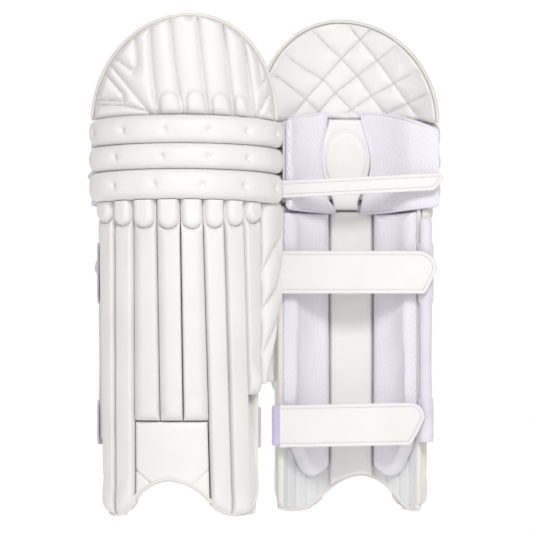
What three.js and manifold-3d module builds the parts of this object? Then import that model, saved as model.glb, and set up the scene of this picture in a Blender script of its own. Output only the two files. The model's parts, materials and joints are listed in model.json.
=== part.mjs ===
// A pair of cricket batting pads, standing upright side by side.
// The left pad shows its ribbed face towards -Y and the right pad is the same pad turned half round,
// so it shows its straps towards -Y. Each pad wraps the front of a leg: a shin section of eight padded
// ribs over a rack of canes, three knee rolls, a domed top section, a side wing and three straps.
//
// Units are millimetres and degrees. +Z is up, the pair's middle is at the origin, and the pads stand on
// z = 0. Inside a pad, x runs across it (the wing is at +x), the face is at -y and the straps are near y = 0.
import * as THREE from "three";
import { mergeVertices } from "three/addons/utils/BufferGeometryUtils.js";
import Module from "manifold-3d";

const wasm = await Module();
wasm.setup();

// ---------------------------------------------------------------- driving dimensions
const PAD_OFFSET_X = 128.6; // from the pair's middle to each pad's own middle
const REAR_PLANE_Y = 40; // from the pair's middle to each pad's rear plane
const LEG_AXIS_Y = 15; // the leg's axis, which the shin and knee wrap round
const ARC_STEP = 8; // widest facet of a curved shell, in degrees
const SLIVER = 0.2; // detail smaller than this is merged away after a cut

const SHIN_TOP = 462;
const LINING_FROM = -62;
const LINING_TO = 68;
const LINING_INNER = 112;
const LINING_OUTER = 118;
const WEB_INNER = 118.4; // cloth that the canes are sewn to
const WEB_OUTER = 119.4;
const RIB_BASE = 119.8;
const RIB_CREST = 140;
const RIB_GAP = 0.35; // half the gap between two ribs, in degrees
const CANE_WIDTH = 7;
const CANE_OUTER = 127.5;
const CANE_BOTTOM = 186;
const CANE_TOP = 455;
const CANE_CLEARANCE = 0.8;

// Angles of the seams between the ribs at the top of the shin, and how far each seam has drifted
// round the leg where it is DRIFT_HEIGHT lower.
const RIB_SEAMS = [-63.8, -46.4, -31.3, -15.2, 0.4, 15.2, 29.8, 44.6, 61.9];
const SEAM_DRIFT = [6.0, 0.9, 0.4, 3.0, 2.5, 5.3, 5.6, 6.4, -1.7];
const DRIFT_HEIGHT = 389;
const CENTRE_RIBS = [2, 3, 4]; // these three stop at the instep panel
const LAST_RIB = 7; // stops above the ankle
const INSTEP_TOP = 141;
const CENTRE_RIB_BOTTOM = 143;
const LAST_RIB_BOTTOM = 180;
const INSTEP_CREST = 132;

const ROLL_RADIUS = 133; // from the leg's axis to the middle of a knee roll
const ROLL_DEPTH = 40;
const ROLL_DROOP = 9; // how far a roll's outer end hangs below its middle
const ROLL_END = 9; // degrees over which a roll's end rounds off
const ROLL_TIP = 0.4; // size of the flat at a roll's tip, as a share of its section
const ROLL_FROM = -66;
const ROLL_TO = 80;
const ROLLS = [
  { middle: 575.5, height: 40 },
  { middle: 535, height: 39 },
  { middle: 493, height: 43 },
];
const KNEE_BOTTOM = 472;
const KNEE_TOP = 595;
const BACKING_INNER = 105.5;
const BACKING_OUTER = 111.8;

const TOP_AXIS = { x: 6.5, y: 60 }; // the shallower curve of the top section
const TOP_CREST = 185;
const TOP_FACE_BACK = 160;
const TOP_LINING_OUTER = 158;
const TOP_LINING_INNER = 149;
const TOP_BOTTOM = 603;
const DOME_BASE = 590; // height where the dome is widest
const DOME_RISE = 154.6;
const DOME_END = 85; // degrees round the dome where its short flat top starts
const DOME_HALF_WIDTH = 137.5;
const DOME_SKEW = 9; // how far the dome's peak leans towards the wing
const DOME_HEM = 5; // how far the lining stays inside the face's outline

const BOLSTER_INNER = 88;
const BOLSTER_OUTER = 111.3;
const BOLSTER_TOP = 444;
const BOLSTER_BOTTOM = 54;
const SIDE_ROLL_TOP = 446;
const SIDE_ROLL_BOTTOM = 112;
const SPINE_INNER = 101;
const SPINE_EDGE = 18;
const SPINE_TOP = 444;
const FLAP_INNER = 93;
const FLAP_OUTER = 104.8;
const FLAP_BOTTOM = 453;
const FLAP_TOP = 603;
const FLAP_LIP = 5; // degrees that the inner flap covers outside the rolls' ends
const CUP_INNER = 90;

const STRAP_THICKNESS = 5;
const STRAPS = {
  knee: { hingeX: 95, reach: 240, bottom: 475, height: 37 },
  calf: { hingeX: 97, reach: 225, bottom: 329, height: 67, edge: [120, -26] },
  ankle: { hingeX: 104, reach: 214, bottom: 101, height: 62, edge: [112, -32] },
};
const STRAP_HINGE_Y = -5;
const STRAP_SLANT = 1.7; // degrees that a strap's free end runs towards the face
const STRAP_END_GAP = 1.5;

const radians = THREE.MathUtils.degToRad;

// ---------------------------------------------------------------- shared tools

// A three.js geometry as a manifold-3d solid.
function solidOf(geometry) {
  const bare = new THREE.BufferGeometry();
  bare.setAttribute("position", geometry.getAttribute("position"));
  bare.setIndex(geometry.getIndex());
  const merged = mergeVertices(bare, 1e-3);
  const mesh = new wasm.Mesh({
    numProp: 3,
    vertProperties: merged.getAttribute("position").array,
    triVerts: new Uint32Array(merged.getIndex().array),
  });
  return new wasm.Manifold(mesh);
}

// A manifold-3d solid as a three.js geometry, without the slivers that a cut leaves.
function geometryOf(solid) {
  const mesh = solid.simplify(SLIVER).getMesh();
  const geometry = new THREE.BufferGeometry();
  geometry.setAttribute("position", new THREE.BufferAttribute(mesh.vertProperties, 3));
  geometry.setIndex(new THREE.BufferAttribute(mesh.triVerts, 1));
  geometry.computeVertexNormals();
  return geometry;
}

const cut = (geometry, cutter) => geometryOf(solidOf(geometry).subtract(solidOf(cutter)));
const keep = (geometry, keeper) => geometryOf(solidOf(geometry).intersect(solidOf(keeper)));

// Moves every vertex of a geometry to where place(x, y, z) says.
function mapped(geometry, place) {
  const position = geometry.getAttribute("position");
  for (let i = 0; i < position.count; i += 1) {
    const moved = place(position.getX(i), position.getY(i), position.getZ(i));
    position.setXYZ(i, moved.x, moved.y, moved.z);
  }
  return geometry;
}

function extrude(shape, depth, steps = 1) {
  return new THREE.ExtrudeGeometry(shape, { depth, steps, bevelEnabled: false, curveSegments: 4 });
}

const shapeOf = (points) => new THREE.Shape(points.map(([x, y]) => new THREE.Vector2(x, y)));

// A point at an angle round an upright axis, measured from straight ahead towards the wing.
function around(axis, radius, angle, z) {
  const a = radians(angle);
  return new THREE.Vector3(axis.x + radius * Math.sin(a), axis.y - radius * Math.cos(a), z);
}

const LEG_AXIS = { x: 0, y: LEG_AXIS_Y };

// How far the shin's cloth has turned round the leg at a height, for a place that is at an angle at the top.
function drifted(angle, z) {
  const last = RIB_SEAMS.length - 1;
  const inside = THREE.MathUtils.clamp(angle, RIB_SEAMS[0], RIB_SEAMS[last]);
  const next = Math.max(1, RIB_SEAMS.findIndex((seam) => seam >= inside));
  const share = (inside - RIB_SEAMS[next - 1]) / (RIB_SEAMS[next] - RIB_SEAMS[next - 1]);
  const drift = THREE.MathUtils.lerp(SEAM_DRIFT[next - 1], SEAM_DRIFT[next], share);
  return angle + (drift * (SHIN_TOP - z)) / DRIFT_HEIGHT;
}

const onShin = (radius, angle, z) => around(LEG_AXIS, radius, drifted(angle, z), z);
const onKnee = (radius, angle, z) => around(LEG_AXIS, radius, angle, z);

// The angles from one to another in even steps no wider than ARC_STEP.
function angles(from, to) {
  const count = Math.max(1, Math.ceil(Math.abs(to - from) / ARC_STEP));
  return Array.from({ length: count + 1 }, (_, i) => THREE.MathUtils.lerp(from, to, i / count));
}

// A radius and an angle round the leg as a place in its plan. A section is drawn in plan before it is
// extruded, so that its ends are filled inside its own curve.
function inPlan([radius, angle]) {
  const turn = THREE.MathUtils.degToRad(angle);
  return [radius * Math.sin(turn), -radius * Math.cos(turn)];
}

// Lets a rule on radius, angle and height work on places in the plan.
function fromPlan(place) {
  return (x, y, z) => place(Math.hypot(x, y), THREE.MathUtils.radToDeg(Math.atan2(x, -y)), z);
}

// A curved wall between two radii, two angles and two heights. on() says which axis it bends round.
function wall({ inner, outer, from, to, bottom, top, on, steps = 1 }) {
  const there = angles(from, to);
  const outline = [
    ...there.map((angle) => [outer, angle]),
    ...[...there].reverse().map((angle) => [inner, angle]),
  ];
  const block = extrude(shapeOf(outline.map(inPlan)), top - bottom, steps);
  return mapped(block, fromPlan((radius, angle, z) => on(radius, angle, bottom + z)));
}

// A prism with a front-view outline of [x, z], running through the pad from front to back.
const seenFromFront = (shape) => extrude(shape, 400).rotateX(Math.PI / 2).translate(0, 100, 0);

// ---------------------------------------------------------------- outlines seen from the front

// What lies below the pad's bottom edge: two round toes with the instep arch between them.
function belowTheToes() {
  const shape = new THREE.Shape();
  shape.moveTo(-170, -40);
  shape.lineTo(-170, 50);
  shape.lineTo(-121, 50);
  shape.bezierCurveTo(-121, 20, -112, 0, -97, 0);
  shape.lineTo(-84, 0);
  shape.splineThru([
    new THREE.Vector2(-72, 17),
    new THREE.Vector2(-44, 44),
    new THREE.Vector2(-11, 53),
    new THREE.Vector2(22, 39),
    new THREE.Vector2(56, 11),
    new THREE.Vector2(71, 0),
  ]);
  shape.lineTo(98, 0);
  shape.bezierCurveTo(116, 0, 122, 20, 122, 50);
  shape.lineTo(170, 50);
  shape.lineTo(170, -40);
  return shape;
}

// ---------------------------------------------------------------- shin section

// One padded rib: a bar with a long slope on its outer side, a short one on its inner side, and a
// groove up its back for its cane.
function rib(index) {
  const from = RIB_SEAMS[index] + RIB_GAP;
  const to = RIB_SEAMS[index + 1] - RIB_GAP;
  const middle = (from + to) / 2;
  const leans = middle < 0 ? -1 : 1;
  const [longSide, shortSide] = leans < 0 ? [from, to] : [to, from];
  const width = to - from;
  const grooveWidth = CANE_WIDTH + 2 * CANE_CLEARANCE;
  const groove = THREE.MathUtils.radToDeg(grooveWidth / 2 / CANE_OUTER);
  const outline = [
    [RIB_BASE, shortSide],
    [RIB_CREST - 6, shortSide],
    [RIB_CREST, shortSide + leans * 0.16 * width],
    [RIB_CREST, longSide - leans * 0.38 * width],
    [RIB_CREST - 9, longSide - leans * 0.05 * width],
    [RIB_BASE, longSide],
    [RIB_BASE, middle + leans * groove],
    [CANE_OUTER + CANE_CLEARANCE, middle + leans * groove],
    [CANE_OUTER + CANE_CLEARANCE, middle - leans * groove],
    [RIB_BASE, middle - leans * groove],
  ];
  let bottom = 0;
  if (CENTRE_RIBS.includes(index)) bottom = CENTRE_RIB_BOTTOM;
  if (index === LAST_RIB) bottom = LAST_RIB_BOTTOM;
  const bar = extrude(shapeOf(outline), SHIN_TOP - bottom, 3);
  mapped(bar, (radius, angle, z) => onShin(radius, angle, bottom + z));
  return bottom > 0 ? bar : cut(bar, seenFromFront(belowTheToes()));
}

// The canes, one up the back of each rib, sewn to one sheet of cloth.
function caneRack() {
  const half = THREE.MathUtils.radToDeg(CANE_WIDTH / 2 / CANE_OUTER);
  const outline = [];
  RIB_SEAMS.forEach((seam, i) => {
    const last = i === RIB_SEAMS.length - 1;
    const hem = i === 0 ? 1 : last ? -1 : 0;
    outline.push([WEB_OUTER, seam + hem]);
    if (last) return;
    const middle = (seam + RIB_SEAMS[i + 1]) / 2;
    outline.push(
      [WEB_OUTER, middle - half],
      [CANE_OUTER, middle - half],
      [CANE_OUTER, middle + half],
      [WEB_OUTER, middle + half],
    );
  });
  const back = outline.filter(([radius]) => radius === WEB_OUTER).reverse();
  back.forEach(([, angle]) => outline.push([WEB_INNER, angle]));
  const rack = extrude(shapeOf(outline.map(inPlan)), CANE_TOP - CANE_BOTTOM, 3);
  return mapped(rack, fromPlan((radius, angle, z) => onShin(radius, angle, CANE_BOTTOM + z)));
}

// The padded shell that everything else on the shin is sewn to.
function shinLining() {
  const shell = wall({
    inner: LINING_INNER,
    outer: LINING_OUTER,
    from: LINING_FROM,
    to: LINING_TO,
    bottom: 0,
    top: SHIN_TOP,
    on: onKnee,
  });
  return cut(shell, seenFromFront(belowTheToes()));
}

// The flat reinforced panel over the foot, between the second and sixth ribs.
function instepPanel() {
  const panel = wall({
    inner: RIB_BASE,
    outer: INSTEP_CREST,
    from: RIB_SEAMS[CENTRE_RIBS[0]] + RIB_GAP,
    to: RIB_SEAMS[CENTRE_RIBS.at(-1) + 1] - RIB_GAP,
    bottom: 0,
    top: INSTEP_TOP,
    on: onShin,
  });
  return cut(panel, seenFromFront(belowTheToes()));
}

// The smooth strip down the middle of the back.
function spine() {
  const strip = wall({
    inner: SPINE_INNER,
    outer: BOLSTER_OUTER,
    from: -SPINE_EDGE,
    to: SPINE_EDGE,
    bottom: 30,
    top: SPINE_TOP,
    on: onKnee,
  });
  return cut(strip, seenFromFront(belowTheToes()));
}

// One long cushion beside the spine, with a round lower end. side is 1 by the wing and -1 opposite.
function bolster(side) {
  const near = 19.5 * side;
  const far = side > 0 ? 70 : -64;
  const cushion = wall({
    inner: BOLSTER_INNER,
    outer: BOLSTER_OUTER,
    from: Math.min(near, far),
    to: Math.max(near, far),
    bottom: BOLSTER_BOTTOM,
    top: BOLSTER_TOP,
    on: onKnee,
  });
  const outline = new THREE.Shape();
  outline.moveTo(31 * side, BOLSTER_TOP + 10);
  outline.lineTo(31 * side, 90);
  outline.bezierCurveTo(31 * side, BOLSTER_BOTTOM, 84 * side, BOLSTER_BOTTOM, 88 * side, 100);
  outline.lineTo(104 * side, 220);
  outline.lineTo(104 * side, BOLSTER_TOP + 10);
  return keep(cushion, seenFromFront(outline));
}

// The padded tube down the edge opposite the wing.
function sideRoll() {
  const length = SIDE_ROLL_TOP - SIDE_ROLL_BOTTOM;
  const roll = new THREE.CylinderGeometry(9, 8, length, 12).rotateX(Math.PI / 2);
  return roll.translate(-112, -27.5, SIDE_ROLL_BOTTOM + length / 2);
}

// The wing wraps back round the calf and tapers to a point above the ankle.
function wing() {
  const section = shapeOf([
    [127, -48],
    [140, -33],
    [150, -8],
    [146, -2],
    [138, -3],
    [130, -24],
    [115, -41],
  ]);
  const top = 455;
  const bottom = 205;
  const panel = extrude(section, top - bottom, 1).translate(0, 0, bottom);
  // The rear edge is cut away on a slant below the calf strap. Seen from the side, [y, z].
  const taper = shapeOf([
    [60, 372],
    [2, 372],
    [-38, bottom - 10],
    [60, bottom - 10],
  ]);
  const slanted = extrude(taper, 300).rotateX(Math.PI / 2).rotateZ(Math.PI / 2);
  return cut(panel, slanted);
}

// A strip of elastic that folds back from the pad's edge at [x, y] to a strap's hinge.
function tab({ hingeX, height, bottom, edge }) {
  const [x, y] = edge;
  const section = shapeOf([
    [x, y],
    [x + 3, y + 1],
    [x + 2, -8],
    [hingeX + 3.2, -2.5],
    [hingeX + 3.2, -6],
    [x - 1, -11],
  ]);
  return extrude(section, height).translate(0, 0, bottom);
}

// ---------------------------------------------------------------- knee section

// One stuffed roll across the knee: an ellipse carried round the leg, drooping and rounding at its ends.
function kneeRoll({ middle, height }) {
  const section = new THREE.Shape();
  section.absellipse(0, 0, height / 2, ROLL_DEPTH / 2, 0, 2 * Math.PI);
  const steps = 18;
  const bar = extrude(section, 1, steps);
  const span = ROLL_TO - ROLL_FROM;
  return mapped(bar, (up, out, share) => {
    // Steps are closer together near the ends.
    const angle = ROLL_FROM + span * (0.5 - 0.5 * Math.cos(Math.PI * share));
    const inwards = Math.min(1, Math.min(angle - ROLL_FROM, ROLL_TO - angle) / ROLL_END);
    const size = ROLL_TIP + (1 - ROLL_TIP) * Math.sqrt(1 - (1 - inwards) ** 2);
    const droop = ROLL_DROOP * (angle / ROLL_TO) ** 2;
    return onKnee(ROLL_RADIUS + out * size, angle, middle + up * size - droop);
  });
}

// The foam shell behind the rolls.
function kneeBacking() {
  return wall({
    inner: BACKING_INNER,
    outer: BACKING_OUTER,
    from: ROLL_FROM,
    to: ROLL_TO - 6,
    bottom: KNEE_BOTTOM,
    top: KNEE_TOP,
    on: onKnee,
  });
}

// The mesh cushion on the inner side of the knee cup. It turns out over the ends of the rolls.
function innerFlap() {
  const far = ROLL_FROM;
  const lip = ROLL_FROM - FLAP_LIP;
  const section = [
    ...angles(-12, far - 1).map((angle) => [FLAP_OUTER, angle]),
    [ROLL_RADIUS + 12, far - 1],
    [ROLL_RADIUS + 12, lip],
    [FLAP_OUTER, lip],
    [FLAP_INNER, far],
    ...angles(far, -12).slice(1).map((angle) => [FLAP_INNER, angle]),
  ];
  const block = extrude(shapeOf(section.reverse()), FLAP_TOP - FLAP_BOTTOM);
  mapped(block, (radius, angle, z) => onKnee(radius, angle, FLAP_BOTTOM + z));
  const outline = [
    [-15, 610],
    [-80, 597],
    [-150, 576],
    [-150, 464],
    [-14, 450],
  ];
  return keep(block, seenFromFront(shapeOf(outline)));
}

// The mesh cushion on the wing side of the knee cup.
function outerFlap() {
  const cushion = wall({
    inner: FLAP_INNER,
    outer: FLAP_OUTER,
    from: 23,
    to: ROLL_TO - 5,
    bottom: FLAP_BOTTOM,
    top: FLAP_TOP,
    on: onKnee,
  });
  const outline = [
    [36, 606],
    [32, 610],
    [24, 450],
    [150, 462],
    [150, 582],
  ];
  return keep(cushion, seenFromFront(shapeOf(outline)));
}

// The padded tongue over the kneecap.
function kneeCup() {
  return wall({
    inner: CUP_INNER,
    outer: FLAP_OUTER,
    from: -11,
    to: 22,
    bottom: 470,
    top: 592,
    on: onKnee,
  });
}

// ---------------------------------------------------------------- top section

// A shell bent to the top section's curve whose outline, seen from the front, is a half ellipse that
// leans towards the wing.
function domeShell(inner, outer, inset) {
  const rise = DOME_RISE - inset;
  const start = Math.asin((TOP_BOTTOM - DOME_BASE) / rise);
  const block = new THREE.BoxGeometry(1, 1, 1, 12, 1, 8);
  return mapped(block, (across, through, up) => {
    const turn = THREE.MathUtils.lerp(start, radians(DOME_END), up + 0.5);
    const aside = DOME_SKEW * Math.sin(turn) ** 2 + 2 * across * (DOME_HALF_WIDTH - inset) * Math.cos(turn);
    const radius = through < 0 ? outer : inner;
    const y = TOP_AXIS.y - Math.sqrt(radius ** 2 - aside ** 2);
    return new THREE.Vector3(TOP_AXIS.x + aside, y, DOME_BASE + rise * Math.sin(turn));
  });
}

const topHat = () => domeShell(TOP_FACE_BACK, TOP_CREST, 0);
const topLining = () => domeShell(TOP_LINING_INNER, TOP_LINING_OUTER, DOME_HEM);

// ---------------------------------------------------------------- straps

// A strap lies along -x from its hinge, with one round and one slanted corner at its free end.
function strap({ reach, height }) {
  const outline = new THREE.Shape();
  outline.moveTo(-STRAP_END_GAP, 0);
  outline.lineTo(-STRAP_END_GAP, height);
  outline.lineTo(-reach + 16, height);
  outline.quadraticCurveTo(-reach, height, -reach, height * 0.62);
  outline.lineTo(-reach + 16, height * 0.08);
  outline.quadraticCurveTo(-reach + 20, 0, -reach + 28, 0);
  return extrude(outline, STRAP_THICKNESS).rotateX(Math.PI / 2).translate(0, STRAP_THICKNESS / 2, 0);
}

// ---------------------------------------------------------------- materials

const material = (color, roughness) => new THREE.MeshStandardMaterial({ color, roughness, metalness: 0 });
const MATERIALS = {
  face: material(0xf2efec, 0.45),
  lining: material(0xe9e9e7, 0.7),
  mesh: material(0xe6e0f2, 0.85),
  strap: material(0xf6f5f2, 0.4),
  elastic: material(0xd9d3ee, 0.8),
  cane: material(0xcaa56a, 0.6),
};

// ---------------------------------------------------------------- assembly

function piece(name, geometry, finish, position = [0, 0, 0], turn = 0) {
  const mesh = new THREE.Mesh(geometry, MATERIALS[finish]);
  mesh.name = name;
  mesh.position.set(...position);
  mesh.rotation.z = radians(turn);
  return mesh;
}

function pad(side) {
  const group = new THREE.Group();
  const named = (name, ...rest) => group.add(piece(`${side}_${name}`, ...rest));
  named("shin_lining", shinLining(), "lining");
  named("cane_rack", caneRack(), "cane");
  for (let i = 0; i <= LAST_RIB; i += 1) named(`rib_${i + 1}`, rib(i), "face");
  named("instep_panel", instepPanel(), "face");
  named("spine", spine(), "strap");
  named("inner_bolster", bolster(-1), "mesh");
  named("outer_bolster", bolster(1), "mesh");
  named("side_roll", sideRoll(), "elastic");
  named("wing", wing(), "face");
  ROLLS.forEach((roll, i) => named(`knee_roll_${i + 1}`, kneeRoll(roll), "face"));
  named("knee_backing", kneeBacking(), "lining");
  named("inner_knee_flap", innerFlap(), "mesh");
  named("outer_knee_flap", outerFlap(), "mesh");
  named("knee_cup", kneeCup(), "strap");
  named("top_hat", topHat(), "face");
  named("top_lining", topLining(), "lining");
  for (const [name, size] of Object.entries(STRAPS)) {
    const hinge = [size.hingeX, STRAP_HINGE_Y, size.bottom];
    named(`${name}_strap`, strap(size), "strap", hinge, STRAP_SLANT);
    if (name !== "knee") named(`${name}_tab`, tab(size), "elastic");
  }
  return group;
}

const left = pad("left");
left.position.set(-PAD_OFFSET_X, -REAR_PLANE_Y, 0);

const right = pad("right");
right.position.set(PAD_OFFSET_X, REAR_PLANE_Y, 0);
right.rotation.z = Math.PI;

const pair = new THREE.Group();
pair.add(left, right);

export default pair;
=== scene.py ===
"""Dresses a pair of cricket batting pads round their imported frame.

Each pad is worked out in its own millimetres: x runs across it with the wing at +x, the ribbed face is
at -y, the straps are near y = 0 and z is up. A pad's place in the frame comes from its knee joint, and
the right pad is the left one turned half round. Every surface is a grid of numbers made by a formula.
"""

from __future__ import annotations

import json
import logging
import math
from collections.abc import Callable
from dataclasses import dataclass, field
from enum import Enum

import bpy
import numpy as np
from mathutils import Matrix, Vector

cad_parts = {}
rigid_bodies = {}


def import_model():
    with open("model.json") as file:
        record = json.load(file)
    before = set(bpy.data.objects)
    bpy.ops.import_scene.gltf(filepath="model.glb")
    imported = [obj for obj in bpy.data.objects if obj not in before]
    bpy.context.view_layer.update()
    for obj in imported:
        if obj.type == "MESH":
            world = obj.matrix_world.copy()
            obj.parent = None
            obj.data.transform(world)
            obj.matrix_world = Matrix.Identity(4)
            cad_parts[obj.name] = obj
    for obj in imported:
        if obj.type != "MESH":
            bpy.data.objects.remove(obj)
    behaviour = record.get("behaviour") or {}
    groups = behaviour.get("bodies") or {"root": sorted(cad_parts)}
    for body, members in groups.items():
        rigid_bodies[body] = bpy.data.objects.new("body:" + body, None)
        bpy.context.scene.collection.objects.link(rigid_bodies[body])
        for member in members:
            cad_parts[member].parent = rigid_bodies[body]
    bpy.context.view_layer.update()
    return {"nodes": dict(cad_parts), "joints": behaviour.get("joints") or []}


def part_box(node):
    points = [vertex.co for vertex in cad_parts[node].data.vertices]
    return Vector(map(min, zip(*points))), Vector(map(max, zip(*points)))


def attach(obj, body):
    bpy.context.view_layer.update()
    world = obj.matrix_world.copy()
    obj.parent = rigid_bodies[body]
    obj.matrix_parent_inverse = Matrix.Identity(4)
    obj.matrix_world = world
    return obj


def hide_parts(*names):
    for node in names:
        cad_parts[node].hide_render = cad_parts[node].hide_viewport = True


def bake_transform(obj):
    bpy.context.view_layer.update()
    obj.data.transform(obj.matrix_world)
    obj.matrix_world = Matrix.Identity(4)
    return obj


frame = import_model()

log = logging.getLogger("pads")
Vec = np.ndarray
Surface = Callable[[Vec, Vec, Vec], Vec]

LEG_AXIS_Y = 15.0
HINGE_Y = -22.0  # the knee joint's place behind a pad's face, in the pad's own frame
SHIN_TOP = 462.0
RIB_SEAMS = (-63.8, -46.4, -31.3, -15.2, 0.4, 15.2, 29.8, 44.6, 61.9)
SEAM_DRIFT = (6.0, 0.9, 0.4, 3.0, 2.5, 5.3, 5.6, 6.4, -1.7)
DRIFT_HEIGHT = 389.0
ROLL_RADIUS = 133.0
ROLL_DROOP = 9.0
ROLL_FROM = -66.0
ROLL_TO = 80.0
TOP_AXIS = (6.5, 60.0)


# ------------------------------------------------------------------------------------ shared shapes


@dataclass
class Shell:
    """One closed surface: its points, its four-sided and three-sided faces, and where cloth lies on them."""

    points: Vec
    quads: Vec
    tris: Vec
    quad_uv: Vec
    tri_uv: Vec

    def outward(self) -> Shell:
        """The same surface with its faces turned outwards, told by the sign of its volume.

        Returns:
            The same points with faces that look out of it.
        """
        a, b, c, d = (self.points[self.quads[:, i]] for i in range(4))
        volume = np.einsum("ij,ij->", a, np.cross(b, c)) + np.einsum("ij,ij->", a, np.cross(c, d))
        if len(self.tris):
            a, b, c = (self.points[self.tris[:, i]] for i in range(3))
            volume += np.einsum("ij,ij->", a, np.cross(b, c))
        if volume >= 0:
            return self
        return Shell(
            self.points, self.quads[:, ::-1], self.tris[:, ::-1], self.quad_uv[:, ::-1], self.tri_uv[:, ::-1]
        )


def joined(shells: list[Shell]) -> Shell:
    """Several closed surfaces as one.

    Args:
        shells: The surfaces.

    Returns:
        One Shell that holds them all.
    """
    starts = np.cumsum([0] + [len(shell.points) for shell in shells[:-1]])
    return Shell(
        np.concatenate([shell.points for shell in shells]),
        np.concatenate([shell.quads + start for shell, start in zip(shells, starts)]),
        np.concatenate([shell.tris + start for shell, start in zip(shells, starts)]),
        np.concatenate([shell.quad_uv for shell in shells]),
        np.concatenate([shell.tri_uv for shell in shells]),
    )


def grid_faces(rows: int, columns: int, wrap: bool = False) -> Vec:
    """The four corners of every cell of a grid of points numbered row by row.

    Args:
        rows: Points up the grid.
        columns: Points across the grid.
        wrap: Whether the last column is joined to the first.

    Returns:
        An array of shape (cells, 4).
    """
    row, column = np.meshgrid(np.arange(rows - 1), np.arange(columns if wrap else columns - 1), indexing="ij")
    beside = (column + 1) % columns
    corners = (row * columns + column, row * columns + beside)
    above = ((row + 1) * columns + beside, (row + 1) * columns + column)
    return np.stack(corners + above, axis=-1).reshape(-1, 4)


def border_distances(points: Vec) -> tuple[Vec, Vec, Vec, Vec]:
    """How far each point of a grid lies from the grid's four borders, measured along its lines.

    Args:
        points: Array of shape (rows, columns, 3).

    Returns:
        Distances from the first column, the last column, the first row and the last row.
    """
    across = np.linalg.norm(np.diff(points, axis=1), axis=2)
    along = np.linalg.norm(np.diff(points, axis=0), axis=2)
    left = np.pad(np.cumsum(across, axis=1), ((0, 0), (1, 0)))
    low = np.pad(np.cumsum(along, axis=0), ((1, 0), (0, 0)))
    return left, left[:, -1:] - left, low, low[-1:] - low


def slab(front: Vec, back: Vec) -> Shell:
    """A closed sheet of stuffing between two grids of the same shape, joined round their borders.

    Args:
        front: Outer surface, shape (rows, columns, 3).
        back: Inner surface, the same shape.

    Returns:
        The closed surface. Its cloth coordinates are metres along the front's lines.
    """
    rows, columns, _ = front.shape
    count = rows * columns
    left, _, low, _ = border_distances(front)
    uv = np.stack([left, low], axis=-1).reshape(-1, 2) / 1000
    cells = grid_faces(rows, columns)
    edge = np.concatenate(
        [
            np.arange(columns),
            np.arange(1, rows) * columns + columns - 1,
            (rows - 1) * columns + np.arange(columns - 2, -1, -1),
            np.arange(rows - 2, 0, -1) * columns,
        ]
    )
    following = np.roll(edge, -1)
    border = np.stack([edge, edge + count, following + count, following], axis=1)
    quads = np.concatenate([cells, cells[:, ::-1] + count, border])
    both = np.concatenate([uv, uv])
    points = np.concatenate([front.reshape(-1, 3), back.reshape(-1, 3)])
    return Shell(points, quads, np.zeros((0, 3), int), both[quads], np.zeros((0, 3, 2))).outward()


def tube(rings: Vec) -> Shell:
    """A closed skin over a row of rings, with both ends filled.

    Args:
        rings: Array of shape (rings, points round one ring, 3).

    Returns:
        The closed surface. Its cloth coordinates are metres round and along it.
    """
    count, around, _ = rings.shape
    looped = np.concatenate([rings, rings[:, :1]], axis=1)
    left, _, low, _ = border_distances(looped)
    means = (left.mean(axis=0, keepdims=True), low.mean(axis=1, keepdims=True))
    uv = np.stack(np.broadcast_arrays(*means), axis=-1).reshape(-1, 2) / 1000
    quads = grid_faces(count, around, wrap=True)
    quad_uv = uv[grid_faces(count, around + 1)]
    ends = np.stack([rings[0].mean(axis=0), rings[-1].mean(axis=0)])
    total = count * around
    first = np.arange(around)
    beside = (first + 1) % around
    low_fan = np.stack([beside, first, np.full(around, total)], axis=1)
    last_ring = (count - 1) * around
    high_fan = np.stack([first, beside, np.full(around, total + 1)], axis=1) + [last_ring, last_ring, 0]
    tris = np.concatenate([low_fan, high_fan])
    tri_uv = np.zeros((len(tris), 3, 2))
    return Shell(np.concatenate([rings.reshape(-1, 3), ends]), quads, tris, quad_uv, tri_uv).outward()


def on_leg(radius: Vec | float, angle: Vec | float, z: Vec | float) -> Vec:
    """Points at an angle in degrees round the leg's upright axis, measured from straight ahead."""
    radius, angle, z = np.broadcast_arrays(radius, np.radians(angle), z)
    return np.stack([radius * np.sin(angle), LEG_AXIS_Y - radius * np.cos(angle), z], axis=-1)


def from_axis(points: Vec) -> Vec:
    """Level directions from the leg's upright axis to each point."""
    return (points - (0, LEG_AXIS_Y, 0)) * (1, 1, 0)


def drifted(angle: Vec | float, z: Vec | float) -> Vec:
    """Where a place on the shin's cloth has turned to at height z, for its angle at the shin's top."""
    return angle + np.interp(angle, RIB_SEAMS, SEAM_DRIFT) * (SHIN_TOP - z) / DRIFT_HEIGHT


def droop(angle: Vec | float) -> Vec:
    """How far the knee's rolls hang below their middle at an angle."""
    return ROLL_DROOP * (np.asarray(angle) / ROLL_TO) ** 2


def spaced(count: int, ease: float = 0.5) -> Vec:
    """Numbers from 0 to 1 that crowd towards both ends: even steps mixed with a cosine by a share."""
    share = np.linspace(0, 1, count)
    return (1 - ease) * share + ease * (0.5 - 0.5 * np.cos(math.pi * share))


def rounded(share: Vec) -> Vec:
    """A quarter circle that rises from 0 at 0 to 1 at 1 and stays there."""
    return np.sqrt(np.maximum(0, 1 - (1 - np.clip(share, 0, 1)) ** 2))


def smoothed(share: Vec) -> Vec:
    """A smooth step from 0 to 1."""
    share = np.clip(share, 0, 1)
    return share * share * (3 - 2 * share)


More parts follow.
